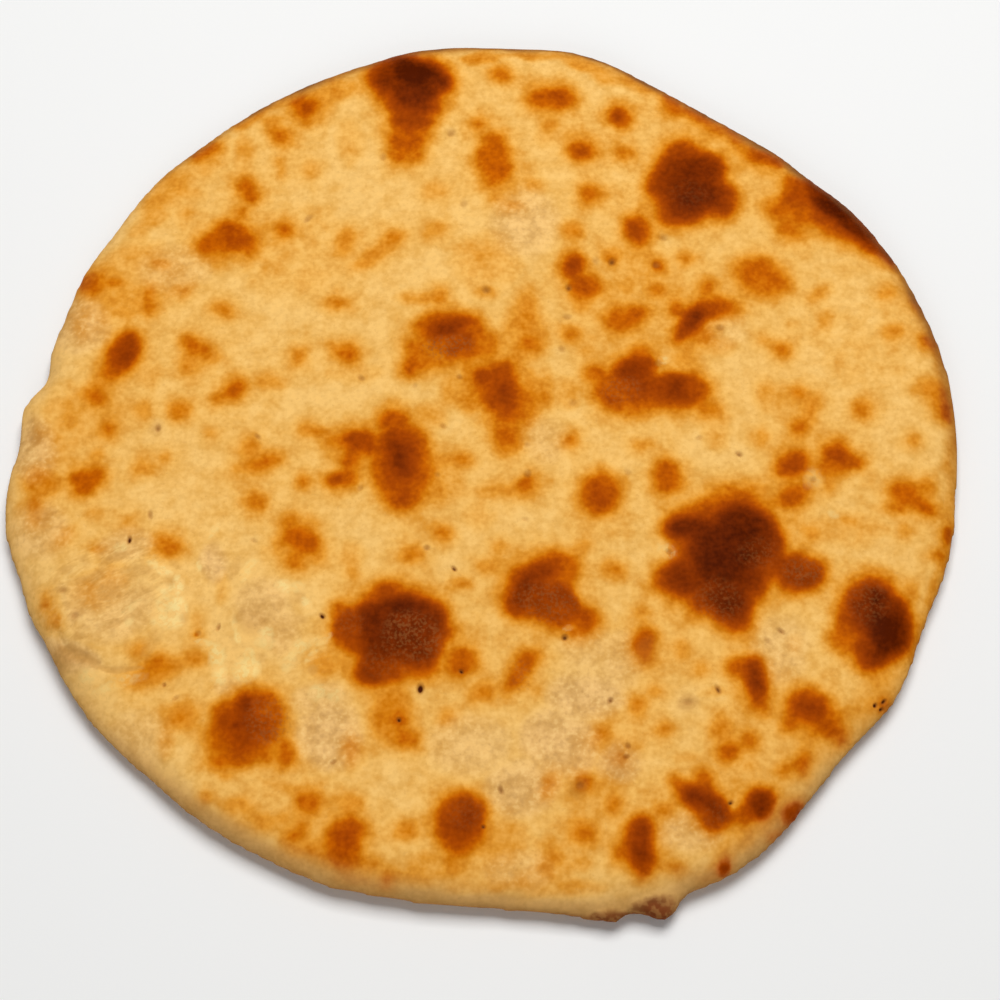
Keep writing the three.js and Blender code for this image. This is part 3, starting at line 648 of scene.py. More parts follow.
fields = {
    "toast": toasted_by(warped, FAR_DABS + MIDDLE_DABS + NEAR_DABS) * faces_up,
    "blush": dabbed(warped, BLUSH_DABS, fade=BLUSH_FADE) * faces_up,
    "burst": dabbed(warped, BURST_DABS, fade=BURST_FADE),
}
for name, (dabs, fade) in TOP_FINISHES.items():
    fields[name] = dabbed(warped, dabs, fade=fade) * faces_up
for name, values in fields.items():
    print(f"{name}: {100 * np.mean(values > STRONG):.1f}% of the points")

# %% [markdown]
# ## The underside
# The underside lay on the griddle too, so it is toasted as well, and dry. Its marks aren't in the
# photograph, so there is nothing to lay on by hand. They are drawn at random, in sizes like those on the
# top, from a fixed seed, so that every run gives the same bread.

# %% Toast the underside
FACES_DOWN = (0.2, 0.7)
UNDER_SEED = 5
UNDER_MARKS = 90
UNDER_REACH = 125 * MM
PIXELS_PER_METRE = 3400
UNDER_SIZES = (9, 14, 20, 30, 44)
UNDER_WIDTHS = (0.5, 0.95)
UNDER_TURNS = (0, 180)
UNDER_STRENGTHS = (0.3, 0.95)

draw = random.Random(UNDER_SEED)
under_dabs = []
for _ in range(UNDER_MARKS):
    away = UNDER_REACH * math.sqrt(draw.random()) * PIXELS_PER_METRE
    bearing = draw.uniform(0, 2 * math.pi)
    size = draw.choice(UNDER_SIZES)
    width = size * draw.uniform(*UNDER_WIDTHS)
    turn = draw.uniform(*UNDER_TURNS)
    strength = draw.uniform(*UNDER_STRENGTHS)
    under_dabs.append((away * math.cos(bearing), away * math.sin(bearing), size, width, turn, strength))
under_places = points[:, :2] * PIXELS_PER_METRE + (warped - places)
faces_down = step(-normals[:, 2], *FACES_DOWN)
fields["toast"] = np.maximum(fields["toast"], toasted_by(under_places, under_dabs) * faces_down)
print("underside marks:", len(under_dabs))

# %% [markdown]
# ## Warm dough and the rim
# Heat spreads, so the dough around a mark is warmer than the rest, and the far and right shoulders were
# baked a little longer than the near one. Larger dabs could warm it, but values passed on from neighbour to
# neighbour along the mesh's edges spread as heat does. The rim is tan, partly its own colour and partly
# painted shade, which is strongest at the front. It is brown low down, where the dough curls under towards
# the griddle, partly from toasting and partly painted shade, and patches of painted shade run all the way up
# at the far side.

# %% Warm the dough around the marks
MELT_ROUNDS = 2
WARM_ROUNDS = 50
WARMTH, WARMEST = 0.7, 0.2
WARM_POWER = 3
SHOULDER_TILT = (0.985, 0.85)
SHOULDER_WARMTH = 0.26
FAR_RIGHT = (-50 * MM, 90 * MM)

edge_ends = np.zeros(len(bread.data.edges) * 2, int)
bread.data.edges.foreach_get("vertices", edge_ends)


def melted(values, rounds):
    """Values that have spread to their neighbours, as heat does."""
    near, far = edge_ends.reshape(-1, 2).T
    count = len(values)
    neighbours = np.bincount(near, minlength=count) + np.bincount(far, minlength=count)
    for _ in range(rounds):
        spread = np.bincount(near, values[far], count) + np.bincount(far, values[near], count)
        values = (values + spread) / (1 + neighbours)
    return values


def tilted(flat, steep):
    """0 where the skin lies as flat as the first tilt, 1 where it is as steep as the second."""
    return step(-normals[:, 2], -flat, -steep)


far_right = step(points[:, 0] + points[:, 1], *FAR_RIGHT)
toast = melted(fields["toast"], MELT_ROUNDS)
warm = np.clip(WARMTH * melted(toast, WARM_ROUNDS), 0, WARMEST)
shoulder = melted(SHOULDER_WARMTH * tilted(*SHOULDER_TILT) * (1 - faces_down), MELT_ROUNDS) * far_right
layers = (toast, warm, shoulder, melted(fields.pop("blush"), MELT_ROUNDS))
fields["toast"] = np.clip(sum(layer ** WARM_POWER for layer in layers) ** (1 / WARM_POWER), 0, 1)
print(f"mean toast: {toast.mean():.3f} by the marks, {fields['toast'].mean():.3f} with the warmth round them")

# %% Brown the rim and paint its shade
RIM_TILT = (0.995, 0.8)
FRONT_RIM = (70 * MM, 115 * MM)
SIDE_RIM_SHARE = 0.3
LOW_RIM_TOP, LOW_RIM_FOOT = 7.2 * MM, 3.4 * MM
FAR_RIM_TILT = (0.992, 0.8)
FAR_SIDE = (-40 * MM, 60 * MM)
FAR_PATCH_GRAIN, FAR_PATCH_SEED = 9 * MM, 11
FAR_PATCH_MEAN, FAR_PATCH_SPREAD = 0.85, 0.5
FAR_EDGE_TILT = (0.95, 0.78)
CURL_TILT = (0.75, 0.98)

# Tan on the rim, partly its own colour and partly painted shade, strongest at the front where the rim is in
# shade.
front_shade_share = SIDE_RIM_SHARE + (1 - SIDE_RIM_SHARE) * step(-points[:, 1], *FRONT_RIM)
fields["rim"] = tilted(*RIM_TILT) * (1 - faces_down) * (1 - far_right) * front_shade_share
# Patches of painted shade on the far rim, where it turns away from the light.
patches = FAR_PATCH_MEAN + FAR_PATCH_SPREAD * noise_over(points, FAR_PATCH_GRAIN, FAR_PATCH_SEED)
far_rim_shade = tilted(*FAR_RIM_TILT) * far_right * step(points[:, 1], *FAR_SIDE) * np.clip(patches, 0, 1)
# Brown low on the rim, darker towards the foot: partly toasting and partly painted shade.
toast_and_shade_low_rim = step(-points[:, 2], -LOW_RIM_TOP, -LOW_RIM_FOOT)
above_curl = 1 - step(-normals[:, 2], *CURL_TILT)
fields["toast_and_shade_low_rim"] = np.maximum(toast_and_shade_low_rim, far_rim_shade) * above_curl
# A thin dark line of painted shade along the far edge.
fields["painted_shade_far_edge"] = far_rim_shade * tilted(*FAR_EDGE_TILT) * above_curl
print("rim fields:", [name for name in fields if name.endswith(("rim", "edge"))])

# %% [markdown]
# ## Relief
# Now the skin is moved, a little and along its own normals. Pebbles of a few millimetres cover it all, and
# toasted places are rougher and stand a hair higher. The buttered skin set in ripples, streaks and folds, a
# crease runs round the bubble at the left, the pinholes sink in, and the burst has ragged, pointed lips. A
# Displace modifier would move everything by one texture, while here each kind of relief follows its own
# field.

# %% Measure the pinholes and their lips
PINHOLE_SHARE = 0.8
PINHOLE_STEEPNESS = 3
LIP_PLACE, LIP_WIDTH = 1.5, 0.4

uneven = places + np.stack(fine_warp, axis=1)
hole = np.zeros(len(points))
lip = np.zeros(len(points))
for across, down, length, width, turn, dark in PINHOLES:
    away = reach(uneven, across, down, length * PINHOLE_SHARE, width * PINHOLE_SHARE, turn)
    hole = np.maximum(hole, dark * np.exp(-away ** PINHOLE_STEEPNESS))
    lip = np.maximum(lip, np.exp(-((away - LIP_PLACE) / LIP_WIDTH) ** 2))
fields["hole"] = hole * faces_up
print("points in pinholes:", np.count_nonzero(fields["hole"] > STRONG))

# %% Measure the ripples and streaks of the buttered skin
# Each ripple centre: pixels across and down, and how far its rings reach.
RIPPLE_CENTRES = [(100, 612, 95), (258, 602, 90)]
RIPPLE_GAP, RIPPLE_TURNS, RIPPLE_SEED = 5.5, 2.6, 8
RIPPLE_FULL = 0.6
STREAK_TURN, STREAK_LENGTH, STREAK_WIDTH, STREAK_SEED = 32, 10 * MM, 2.8 * MM, 10

ripple = np.zeros(len(points))
for across, down, size in RIPPLE_CENTRES:
    x, y = warped[:, 0] - across, warped[:, 1] - down
    ring, way = np.hypot(x, y), np.arctan2(y, x)
    rings = np.stack((ring / RIPPLE_GAP, RIPPLE_TURNS * np.cos(way), RIPPLE_TURNS * np.sin(way)), axis=1)
    ripple += noise_over(rings, 1.0, RIPPLE_SEED) * step(-ring, -size, -RIPPLE_FULL * size)

streak_turn = math.radians(STREAK_TURN)
along = (points[:, 0] * math.cos(streak_turn) + points[:, 1] * math.sin(streak_turn)) / STREAK_LENGTH
across = (points[:, 1] * math.cos(streak_turn) - points[:, 0] * math.sin(streak_turn)) / STREAK_WIDTH
streaks = noise_over(np.stack((along, across, np.zeros(len(points))), axis=1), 1.0, STREAK_SEED)
print(f"ripples from {ripple.min():.2f} to {ripple.max():.2f}")

# %% Measure the crease
CREASE = [(52, 632), (66, 650), (88, 662), (115, 668), (146, 663)]
CREASE_WIDTH = 6


def away_from_line(places, line):
    """How many pixels each place is from the nearest stretch of a line."""
    nearest = np.full(len(places), np.inf)
    for start, end in zip(line, line[1:]):
        start, along = np.array(start, float), np.subtract(end, start)
        share = np.clip((places - start) @ along / (along @ along), 0, 1)
        nearest = np.minimum(nearest, np.linalg.norm(places - start - share[:, None] * along, axis=1))
    return nearest


crease = np.exp(-((away_from_line(warped, CREASE) / CREASE_WIDTH) ** 2))
print("points in the crease:", np.count_nonzero(crease > STRONG))

# %% Move the skin
PEBBLE_GRAIN, PEBBLE_HEIGHT, PEBBLE_SEED = 4.2 * MM, 0.07 * MM, 5
DIMPLE_GRAIN, DIMPLE_HEIGHT, DIMPLE_SEED = 13 * MM, 0.16 * MM, 6
CRUST_GRAIN, CRUST_HEIGHT, CRUST_SEED = 2.3 * MM, 0.09 * MM, 7
CRUST_RISE = 0.12 * MM
STREAK_HEIGHT = 0.14 * MM
RIPPLE_HEIGHT = 0.08 * MM
FOLD_DEPTH = 0.12 * MM
CREASE_DEPTH = 0.5 * MM
PINHOLE_DEPTH, LIP_HEIGHT = 0.75 * MM, 0.06 * MM
BURST_GRAIN, BURST_HEIGHT, BURST_SEED = 2.2 * MM, 0.9 * MM, 9
BURST_SWELL = 0.6
# Each tip: pixels across and down, its size in pixels, and how far it stands out, or in where negative.
BURST_TIPS = [(663, 917, 8, 1.5 * MM), (616, 918, 8, 0.9 * MM), (636, 914, 8, -0.9 * MM)]

height = STREAK_HEIGHT * streaks * fields["streak"]
height -= FOLD_DEPTH * fields["fold_and_painted_shade"]
height += PEBBLE_HEIGHT * noise_over(points, PEBBLE_GRAIN, PEBBLE_SEED)
height += DIMPLE_HEIGHT * noise_over(points, DIMPLE_GRAIN, DIMPLE_SEED)
height += fields["toast"] * (CRUST_RISE + CRUST_HEIGHT * noise_over(points, CRUST_GRAIN, CRUST_SEED))
height += RIPPLE_HEIGHT * ripple * faces_up
height -= CREASE_DEPTH * crease * faces_up
height += BURST_HEIGHT * fields["burst"] * (BURST_SWELL + noise_over(points, BURST_GRAIN, BURST_SEED))
for across, down, size, push in BURST_TIPS:
    height += push * np.exp(-reach(places, across, down, size, size, 0) ** 2) * (1 - faces_down)
height += LIP_HEIGHT * lip * faces_up - PINHOLE_DEPTH * fields["hole"]
moved = points + normals * height[:, None]
moved[:, 2] = np.maximum(moved[:, 2], 0)
bread.data.vertices.foreach_set("co", moved.ravel())
bread.data.polygons.foreach_set("use_smooth", np.ones(len(bread.data.polygons), bool))
bread.data.update()
print(f"relief from {height.min() / MM:.2f} to {height.max() / MM:.2f} mm")

# %% Keep the fields on the mesh
for name, values in fields.items():
    attribute = bread.data.attributes.new(name, "FLOAT", "POINT")
    attribute.data.foreach_set("value", values.astype(np.float32))
print("kept on the mesh:", sorted(fields))

# %% [markdown]
# ## Tools for shader nodes
# A material is a web of small nodes. Built one by one in code it soon can't be read, so a few helpers come
# first. One places a node with its inputs fed, and the others do what the web needs over and over: a step
# of arithmetic, a change of range, a mix of two colours, a grain of noise.

# %% Helpers for colours and nodes
def tint(red, green, blue):
    """A colour from screen values of 0 to 255, as Blender's linear light."""
    shares = (value / 255 for value in (red, green, blue))
    return (*(s / 12.92 if s <= 0.04045 else ((s + 0.055) / 1.055) ** 2.4 for s in shares), 1)


def feed(tree, socket, value):
    """Links a socket to another node's output, or sets its value."""
    if isinstance(value, bpy.types.NodeSocket):
        tree.links.new(value, socket)
    else:
        socket.default_value = value


def place(tree, kind, settings=None, **inputs):
    """A new node with its settings and its inputs, named by their labels with _ for a space."""
    node = tree.nodes.new(kind)
    for name, value in (settings or {}).items():
        setattr(node, name, value)
    for name, value in inputs.items():
        feed(tree, node.inputs[name.replace("_", " ")], value)
    return node


print("middle grey in linear light:", round(tint(128, 128, 128)[0], 3))

# %% Helpers for the steps of a material
# The sockets that a Mix node uses for colours, by their place among its inputs and outputs.
MIX_AMOUNT, MIX_UNDER, MIX_OVER, MIX_RESULT = 0, 6, 7, 2


def calc(tree, operation, first, second=0.0, third=0.0):
    """One step of arithmetic on up to three values."""
    node = place(tree, "ShaderNodeMath", {"operation": operation})
    for socket, value in zip(node.inputs, (first, second, third)):
        feed(tree, socket, value)
    return node.outputs[0]


def between(tree, value, low, high, out_low=0.0, out_high=1.0):
    """A value carried from one range to another, eased at both ends."""
    settings = {"interpolation_type": "SMOOTHSTEP"}
    node = place(tree, "ShaderNodeMapRange", settings, Value=value, From_Min=low, From_Max=high)
    node.inputs["To Min"].default_value = out_low
    node.inputs["To Max"].default_value = out_high
    return node.outputs["Result"]


def mix(tree, amount, under, over):
    """A colour laid over another by an amount."""
    node = place(tree, "ShaderNodeMix", {"data_type": "RGBA"})
    for index, value in ((MIX_AMOUNT, amount), (MIX_UNDER, under), (MIX_OVER, over)):
        feed(tree, node.inputs[index], value)
    return node.outputs[MIX_RESULT]


def grain(tree, coordinates, size, detail, twist=0.0):
    """Noise with lumps of one size, about 0.5 on average."""
    settings = {"noise_dimensions": "3D"}
    node = place(tree, "ShaderNodeTexNoise", settings, Vector=coordinates, Scale=1 / size, Detail=detail)
    node.inputs["Distortion"].default_value = twist
    return node.outputs[0]


print("steps ready:", [helper.__name__ for helper in (calc, between, mix, grain)])

# %% [markdown]
# ## Grain and toast as node groups
# Two effects come back wherever dough is baked: the grain of the crumbly skin, and the colours that dough
# runs through as it toasts. They could sit loose in the material, but as groups with named sockets each
# reads as one box, and another bread could use it with its own values.

# %% The grain group
FINE_GRAIN, FINE_DETAIL = 1.5 * MM, 1.0
PATCH_GRAIN, PATCH_DETAIL = 5.4 * MM, 2.0
BROAD_GRAIN, BROAD_DETAIL = 17 * MM, 1.5
SPECK_GRAIN, SPECK_DETAIL = 0.9 * MM, 1.0
VALUE, COLOUR, VECTOR = "NodeSocketFloat", "NodeSocketColor", "NodeSocketVector"


def new_group(name, takes, gives):
    """An empty node group with the named sockets."""
    group = bpy.data.node_groups.new(name, "ShaderNodeTree")
    for label, kind in takes:
        group.interface.new_socket(label, in_out="INPUT", socket_type=kind)
    for label, kind in gives:
        group.interface.new_socket(label, in_out="OUTPUT", socket_type=kind)
    return group, group.nodes.new("NodeGroupInput").outputs, group.nodes.new("NodeGroupOutput").inputs


grain_group, taken, given = new_group(
    "dough_grain",
    [("Vector", VECTOR)],
    [("Fine", VALUE), ("Patch", VALUE), ("Broad", VALUE), ("Speck", VALUE), ("Height", VALUE)],
)
fine = grain(grain_group, taken["Vector"], FINE_GRAIN, FINE_DETAIL)
patch = grain(grain_group, taken["Vector"], PATCH_GRAIN, PATCH_DETAIL)
feed(grain_group, given["Fine"], fine)
feed(grain_group, given["Patch"], patch)
feed(grain_group, given["Broad"], grain(grain_group, taken["Vector"], BROAD_GRAIN, BROAD_DETAIL))
feed(grain_group, given["Speck"], grain(grain_group, taken["Vector"], SPECK_GRAIN, SPECK_DETAIL))
feed(grain_group, given["Height"], calc(grain_group, "ADD", fine, patch))
print("grain group:", len(grain_group.nodes), "nodes")

# %% The toast group
TOAST_COLOURS = [
    (0.0, tint(242, 192, 110)),
    (0.13, tint(238, 180, 90)),
    (0.28, tint(228, 153, 50)),
    (0.4, tint(212, 124, 14)),
    (0.5, tint(196, 96, 0)),
    (0.62, tint(169, 71, 0)),
    (0.76, tint(146, 56, 0)),
    (0.88, tint(118, 41, 0)),
    (1.0, tint(80, 23, 0)),
]
NOISE_MEAN = 0.5
EDGE_BREAK = 0.52
FINE_BREAK = 0.12
PATCH_BREAK = 0.3
FRECKLE_PATCH = 0.35
FRECKLES = (0.58, 0.95, 0.0, 0.07)

toast_group, taken, given = new_group(
    "toast_colours",
    [("Toast", VALUE), ("Fine", VALUE), ("Patch", VALUE), ("Broad", VALUE)],
    [("Color", COLOUR), ("Level", VALUE)],
)
bare = calc(toast_group, "SUBTRACT", 1.0, taken["Toast"])
edge = calc(toast_group, "MULTIPLY", taken["Toast"], bare)
patchy = calc(toast_group, "SUBTRACT", taken["Patch"], NOISE_MEAN)
ragged = calc(toast_group, "MULTIPLY", edge, patchy)
level = calc(toast_group, "MULTIPLY_ADD", ragged, EDGE_BREAK, taken["Toast"])
speckle = calc(toast_group, "SUBTRACT", taken["Fine"], NOISE_MEAN)
level = calc(toast_group, "MULTIPLY_ADD", speckle, FINE_BREAK, level)
barest = calc(toast_group, "MULTIPLY", bare, bare)
mottle = calc(toast_group, "MULTIPLY", barest, patchy)
level = calc(toast_group, "MULTIPLY_ADD", mottle, PATCH_BREAK, level)
freckle = calc(toast_group, "MULTIPLY_ADD", taken["Patch"], FRECKLE_PATCH, taken["Broad"])
level = calc(toast_group, "ADD", level, between(toast_group, freckle, *FRECKLES))
ramp = toast_group.nodes.new("ShaderNodeValToRGB")
while len(ramp.color_ramp.elements) < len(TOAST_COLOURS):
    ramp.color_ramp.elements.new(0.5)
for stop, (at, stop_colour) in zip(ramp.color_ramp.elements, TOAST_COLOURS):
    stop.position = at
    stop.color = stop_colour
feed(toast_group, ramp.inputs["Fac"], level)
feed(toast_group, given["Color"], ramp.outputs["Color"])
feed(toast_group, given["Level"], level)
print("toast group:", len(toast_group.nodes), "nodes,", len(TOAST_COLOURS), "colours")

# %% [markdown]
# ## The crust
# The material reads the fields from the mesh. The toast gives the ground colour, and the smaller finishes
# are laid over it one after another, each by its own mask, as a painter lays glazes. Several materials on
# one mesh would leave a hard line where they meet, so one Principled shader carries it all.

# %% Start the crust with its toast
crust = bpy.data.materials.new("toasted_crust")
crust.use_nodes = True
web = crust.node_tree
shader = web.nodes["Principled BSDF"]
coordinates = web.nodes.new("ShaderNodeTexCoord").outputs["Object"]


def field(name):
    """A field kept on the mesh."""
    return place(web, "ShaderNodeAttribute", {"attribute_name": name}).outputs["Fac"]


def lay(under, over, *masks):
    """One colour laid over another by the product of some masks."""
    amount = masks[0]
    for mask in masks[1:]:
        amount = calc(web, "MULTIPLY", amount, mask)
    return mix(web, amount, under, over)


grains = place(web, "ShaderNodeGroup", {"node_tree": grain_group}, Vector=coordinates).outputs
toast_node = place(web, "ShaderNodeGroup", {"node_tree": toast_group}, Toast=field("toast"))
for label in ("Fine", "Patch", "Broad"):
    feed(web, toast_node.inputs[label], grains[label])
colour = toast_node.outputs["Color"]
toast_level = toast_node.outputs["Level"]
print("crust with its toast:", len(web.nodes), "nodes")

# %% [markdown]
# ## Thin dough, and butter with painted highlights
# Thin dough has two tones, a cream and a greyer one, with dark and light flecks. One flat colour
# would look painted, so noise picks the tone. It shows only in pale places, because toast hides it. Olive
# specks and painted highlights, bright glints of light on the butter, lie over it.

# %% Lay on the thin dough and the butter's painted highlights
PALE = (0.1, 0.5, 1.0, 0.0)
THIN_CREAM = tint(233, 185, 121)
THIN_GREY = tint(206, 157, 96)
THIN_TONES = (0.36, 0.64)
THIN_COVER = 0.7
THIN_FLECK = tint(198, 150, 90)
THIN_FLECKS = (0.5, 0.72, 0.0, 0.32)
THIN_LIGHT_FLECK = tint(247, 206, 134)
THIN_LIGHT_FLECKS = (0.3, 0.46, 0.4, 0.0)
OLIVE_BROWN = tint(168, 106, 38)
OLIVE_COVER = 0.5
PAINTED_BUTTER_HIGHLIGHT = tint(254, 222, 142)
PAINTED_BUTTER_HIGHLIGHT_SPOTS = (0.34, 0.6, 0.2, 1.0)

pale = between(web, toast_level, *PALE)
thin = calc(web, "MULTIPLY", field("thin"), pale)
thin_dough = mix(web, between(web, grains["Patch"], *THIN_TONES), THIN_CREAM, THIN_GREY)
colour = lay(colour, thin_dough, thin, THIN_COVER)
colour = lay(colour, THIN_FLECK, thin, between(web, grains["Fine"], *THIN_FLECKS))
colour = lay(colour, THIN_LIGHT_FLECK, thin, between(web, grains["Fine"], *THIN_LIGHT_FLECKS))
colour = lay(colour, OLIVE_BROWN, field("olive"), OLIVE_COVER)
# Painted highlights: bright glints of light on the buttered skin, laid into the colour.
colour = lay(colour, PAINTED_BUTTER_HIGHLIGHT, field("butter_gloss_and_painted_highlight"), between(web, grains["Fine"], *PAINTED_BUTTER_HIGHLIGHT_SPOTS))
print("with thin dough and butter:", len(web.nodes), "nodes")

# %% [markdown]
# ## Strokes, folds and sheen, as painted light and shade
# Where the buttered skin was stretched it set in long strokes, with painted shade and painted highlights by
# turns, and painted shade in the folds between them. A Wave Texture would be too regular, so the strokes are
# a noise stretched along them by a Mapping node. Painted sheen on the chars and crumbs on the pale dough are
# specks of a finer noise.

# %% Lay on the painted light and shade of the strokes, the folds and the sheen
STROKE_SIZE = (5.5 * MM, 1.9 * MM, 1.9 * MM)
STROKE_DETAIL, STROKE_TWIST = 1.5, 1.4
PAINTED_FOLD_AND_STREAK_SHADE = tint(200, 146, 72)
SHADED_STROKES = (0.46, 0.72, 0.0, 0.4)
PAINTED_STREAK_HIGHLIGHT = tint(246, 202, 124)
HIGHLIGHTED_STROKES = (0.28, 0.5, 0.34, 0.0)
FOLD_SHADE_COVER = 0.75
PAINTED_SHEEN_SPECK = tint(146, 92, 46)
PAINTED_SHEEN_SPECKS = (0.42, 0.68, 0.0, 0.45)
CRUMB_BROWN = tint(170, 116, 54)
CRUMBS = (0.62, 0.74)
CRUMB_COVER = (0.2, 0.5, 0.12, 0.0)

stroke_space = place(
    web,
    "ShaderNodeMapping",
    {"vector_type": "TEXTURE"},
    Vector=coordinates,
    Rotation=(0, 0, streak_turn),
    Scale=STROKE_SIZE,
)
strokes = grain(web, stroke_space.outputs["Vector"], 1.0, STROKE_DETAIL, STROKE_TWIST)
streak = calc(web, "MULTIPLY", field("streak"), pale)
# Painted shade and painted highlights along the strokes, standing in for the light and shade of the wrinkles.
colour = lay(colour, PAINTED_FOLD_AND_STREAK_SHADE, streak, between(web, strokes, *SHADED_STROKES))
colour = lay(colour, PAINTED_STREAK_HIGHLIGHT, streak, between(web, strokes, *HIGHLIGHTED_STROKES))
# Painted shade in the folds.
colour = lay(colour, PAINTED_FOLD_AND_STREAK_SHADE, field("fold_and_painted_shade"), FOLD_SHADE_COVER)
# Painted sheen: pale specks on the chars where light glints off the pebbled crust.
colour = lay(colour, PAINTED_SHEEN_SPECK, field("painted_sheen"), between(web, grains["Speck"], *PAINTED_SHEEN_SPECKS))
crumbs = between(web, grains["Speck"], *CRUMBS)
colour = lay(colour, CRUMB_BROWN, crumbs, between(web, toast_level, *CRUMB_COVER))
print("with strokes, folds and ash:", len(web.nodes), "nodes")

# %% [markdown]
# ## Rim, burst and holes
# The rim is tan on the near side, brown along its lowest edge, and darkest in a line on the far edge. The tan
# is partly the rim's colour and partly painted shade, the brown is partly toasting and partly painted shade,
# and the far line is painted shade. The tan and the brown fade where the toast is deep, so that a char runs
# over the rim unbroken. The torn burst mixes two browns, and a hole is darkest in its middle. Each could be a
# material of its own, but the edges would be hard.

# %% Lay on the rim, the burst and the holes
# The rim's tan and brown are partly its own colour and partly painted shade. The far edge's line is painted
# shade.
RIM_TAN_AND_SHADE = tint(190, 140, 80)
RIM_COVER = (0.3, 0.7, 0.7, 0.0)
RIM_BROWN_AND_SHADE = tint(162, 108, 56)
LOW_COVER = (0.4, 0.75, 0.88, 0.0)
FAR_EDGE_SHADE = tint(112, 68, 32)
FAR_EDGE_SHADE_COVER = 0.6
BURST_BROWN = tint(138, 84, 44)
BURST_RUST = tint(112, 40, 14)
BURST_TONES = (0.4, 0.58)
BURST_COVER = 0.88
HOLE_BROWN = tint(146, 88, 34)
HOLE_DARK = tint(66, 22, 6)
DEEP_HOLE = (0.5, 0.95)

colour = lay(colour, RIM_TAN_AND_SHADE, field("rim"), between(web, toast_level, *RIM_COVER))
colour = lay(colour, RIM_BROWN_AND_SHADE, field("toast_and_shade_low_rim"), between(web, toast_level, *LOW_COVER))
colour = lay(colour, FAR_EDGE_SHADE, field("painted_shade_far_edge"), FAR_EDGE_SHADE_COVER)
torn = mix(web, between(web, grains["Fine"], *BURST_TONES), BURST_BROWN, BURST_RUST)
colour = lay(colour, torn, field("burst"), BURST_COVER)
colour = lay(colour, HOLE_BROWN, field("hole"))
colour = lay(colour, HOLE_DARK, between(web, field("hole"), *DEEP_HOLE))
print("with rim, burst and holes:", len(web.nodes), "nodes")

# %% [markdown]
# ## Shine and bump
# Baked dough has a satin skin. Butter and toast make it shinier, fine grain makes it duller, and butter
# adds a thin coat. The last unevenness is a bump and a faint mottle. More relief in the mesh could make it,
# but it is too fine for the faces there are.

# %% Set the shine and the bump
MOTTLE, MOTTLE_RANGE = 0.08, (0.6, 1.4)
ROUGHNESS = 0.56
BUTTER_SHINE, TOAST_SHINE, GRAIN_DULLNESS = -0.16, -0.12, 0.12
SPECULAR = 0.01
BUTTER_COAT, COAT_ROUGHNESS = 0.08, 0.3
BUMP_STRENGTH, BUMP_HEIGHT = 0.2, 0.4 * MM

shade = between(web, grains["Height"], *MOTTLE_RANGE, 1 + MOTTLE, 1 - MOTTLE)
mottled = place(web, "ShaderNodeVectorMath", {"operation": "SCALE"}, Vector=colour, Scale=shade)
feed(web, shader.inputs["Base Color"], mottled.outputs["Vector"])
roughness = calc(web, "MULTIPLY_ADD", field("butter_gloss_and_painted_highlight"), BUTTER_SHINE, ROUGHNESS)
roughness = calc(web, "MULTIPLY_ADD", toast_level, TOAST_SHINE, roughness)
roughness = calc(web, "MULTIPLY_ADD", grains["Fine"], GRAIN_DULLNESS, roughness)
feed(web, shader.inputs["Roughness"], roughness)
shader.inputs["Specular IOR Level"].default_value = SPECULAR
shader.inputs["Coat Roughness"].default_value = COAT_ROUGHNESS
feed(web, shader.inputs["Coat Weight"], calc(web, "MULTIPLY", field("butter_gloss_and_painted_highlight"), BUTTER_COAT))
bump = place(web, "ShaderNodeBump", Height=grains["Height"], Strength=BUMP_STRENGTH, Distance=BUMP_HEIGHT)
feed(web, shader.inputs["Normal"], bump.outputs["Normal"])
bread.data.materials.clear()
bread.data.materials.append(crust)
print("crust material:", len(web.nodes), "nodes")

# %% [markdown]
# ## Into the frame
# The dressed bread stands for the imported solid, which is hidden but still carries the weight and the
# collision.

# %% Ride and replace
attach(bread, "root")
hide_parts("flatbread")

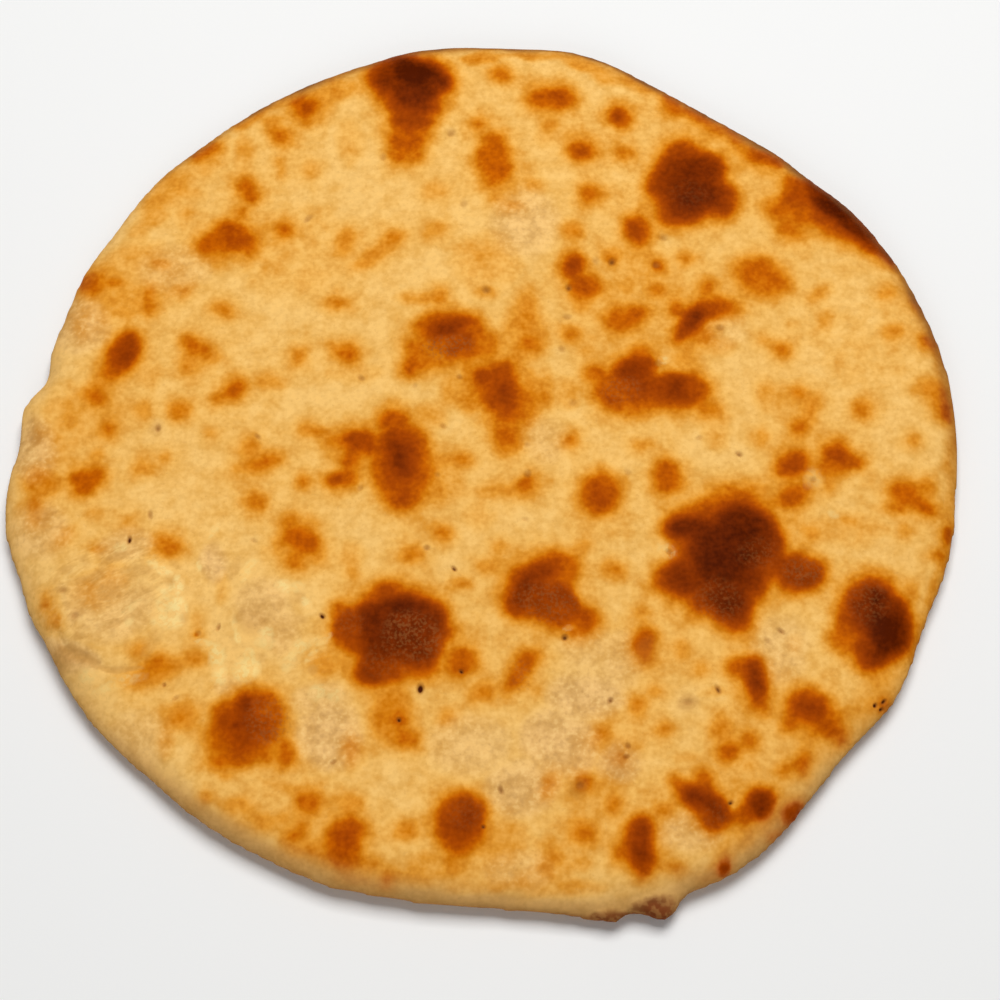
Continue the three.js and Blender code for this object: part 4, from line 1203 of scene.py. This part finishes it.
# %% [markdown]
# ## Floor and light
# A pale floor lies just under the bread. One broad lamp, overhead and a little behind, lights the top
# evenly and leaves the near rim in shade, as in the photograph. A weak lamp in front and a dim white sky
# keep the shade soft. A sun would be simpler, but its shadows are hard. Standard colours, without a film
# look, let the dough's colours through as they were chosen.

# %% Lay the floor
FLOOR_REACH = 3.0
FLOOR_DROP = 0.2 * MM
FLOOR_WHITE, FLOOR_ROUGHNESS = (0.9, 0.9, 0.89, 1), 0.9

floor_mesh = bmesh.new()
bmesh.ops.create_grid(floor_mesh, x_segments=2, y_segments=2, size=FLOOR_REACH)
floor = bpy.data.objects.new("floor", bpy.data.meshes.new("floor"))
floor_mesh.to_mesh(floor.data)
floor_mesh.free()
floor.location.z = -FLOOR_DROP
bpy.context.scene.collection.objects.link(floor)
paper = bpy.data.materials.new("pale_floor")
paper.use_nodes = True
paper_shader = paper.node_tree.nodes["Principled BSDF"]
paper_shader.inputs["Base Color"].default_value = FLOOR_WHITE
paper_shader.inputs["Roughness"].default_value = FLOOR_ROUGHNESS
floor.data.materials.append(paper)
print("floor laid, metres across:", 2 * FLOOR_REACH)

# %% Hang the lamps
LAMP_SIZE = 0.8
OVERHEAD_PLACE, OVERHEAD_WATTS = (0.1, 0.5, 1.3), 17.3
FRONT_PLACE, FRONT_WATTS = (-0.2, -1.2, 0.8), 3.7
SKY_WHITE, SKY_STRENGTH = (1, 1, 1, 1), 0.15


def hang_lamp(name, at, watts):
    """A square soft lamp that faces the bread."""
    lamp = bpy.data.objects.new(name, bpy.data.lights.new(name, "AREA"))
    lamp.data.size = LAMP_SIZE
    lamp.data.energy = watts
    lamp.location = at
    lamp.rotation_euler = (-Vector(at)).to_track_quat("-Z", "Y").to_euler()
    bpy.context.scene.collection.objects.link(lamp)


hang_lamp("overhead", OVERHEAD_PLACE, OVERHEAD_WATTS)
hang_lamp("front_fill", FRONT_PLACE, FRONT_WATTS)
sky = bpy.data.worlds.new("sky")
sky.use_nodes = True
background = sky.node_tree.nodes["Background"]
background.inputs["Color"].default_value = SKY_WHITE
background.inputs["Strength"].default_value = SKY_STRENGTH
bpy.context.scene.world = sky
bpy.context.scene.view_settings.view_transform = "Standard"
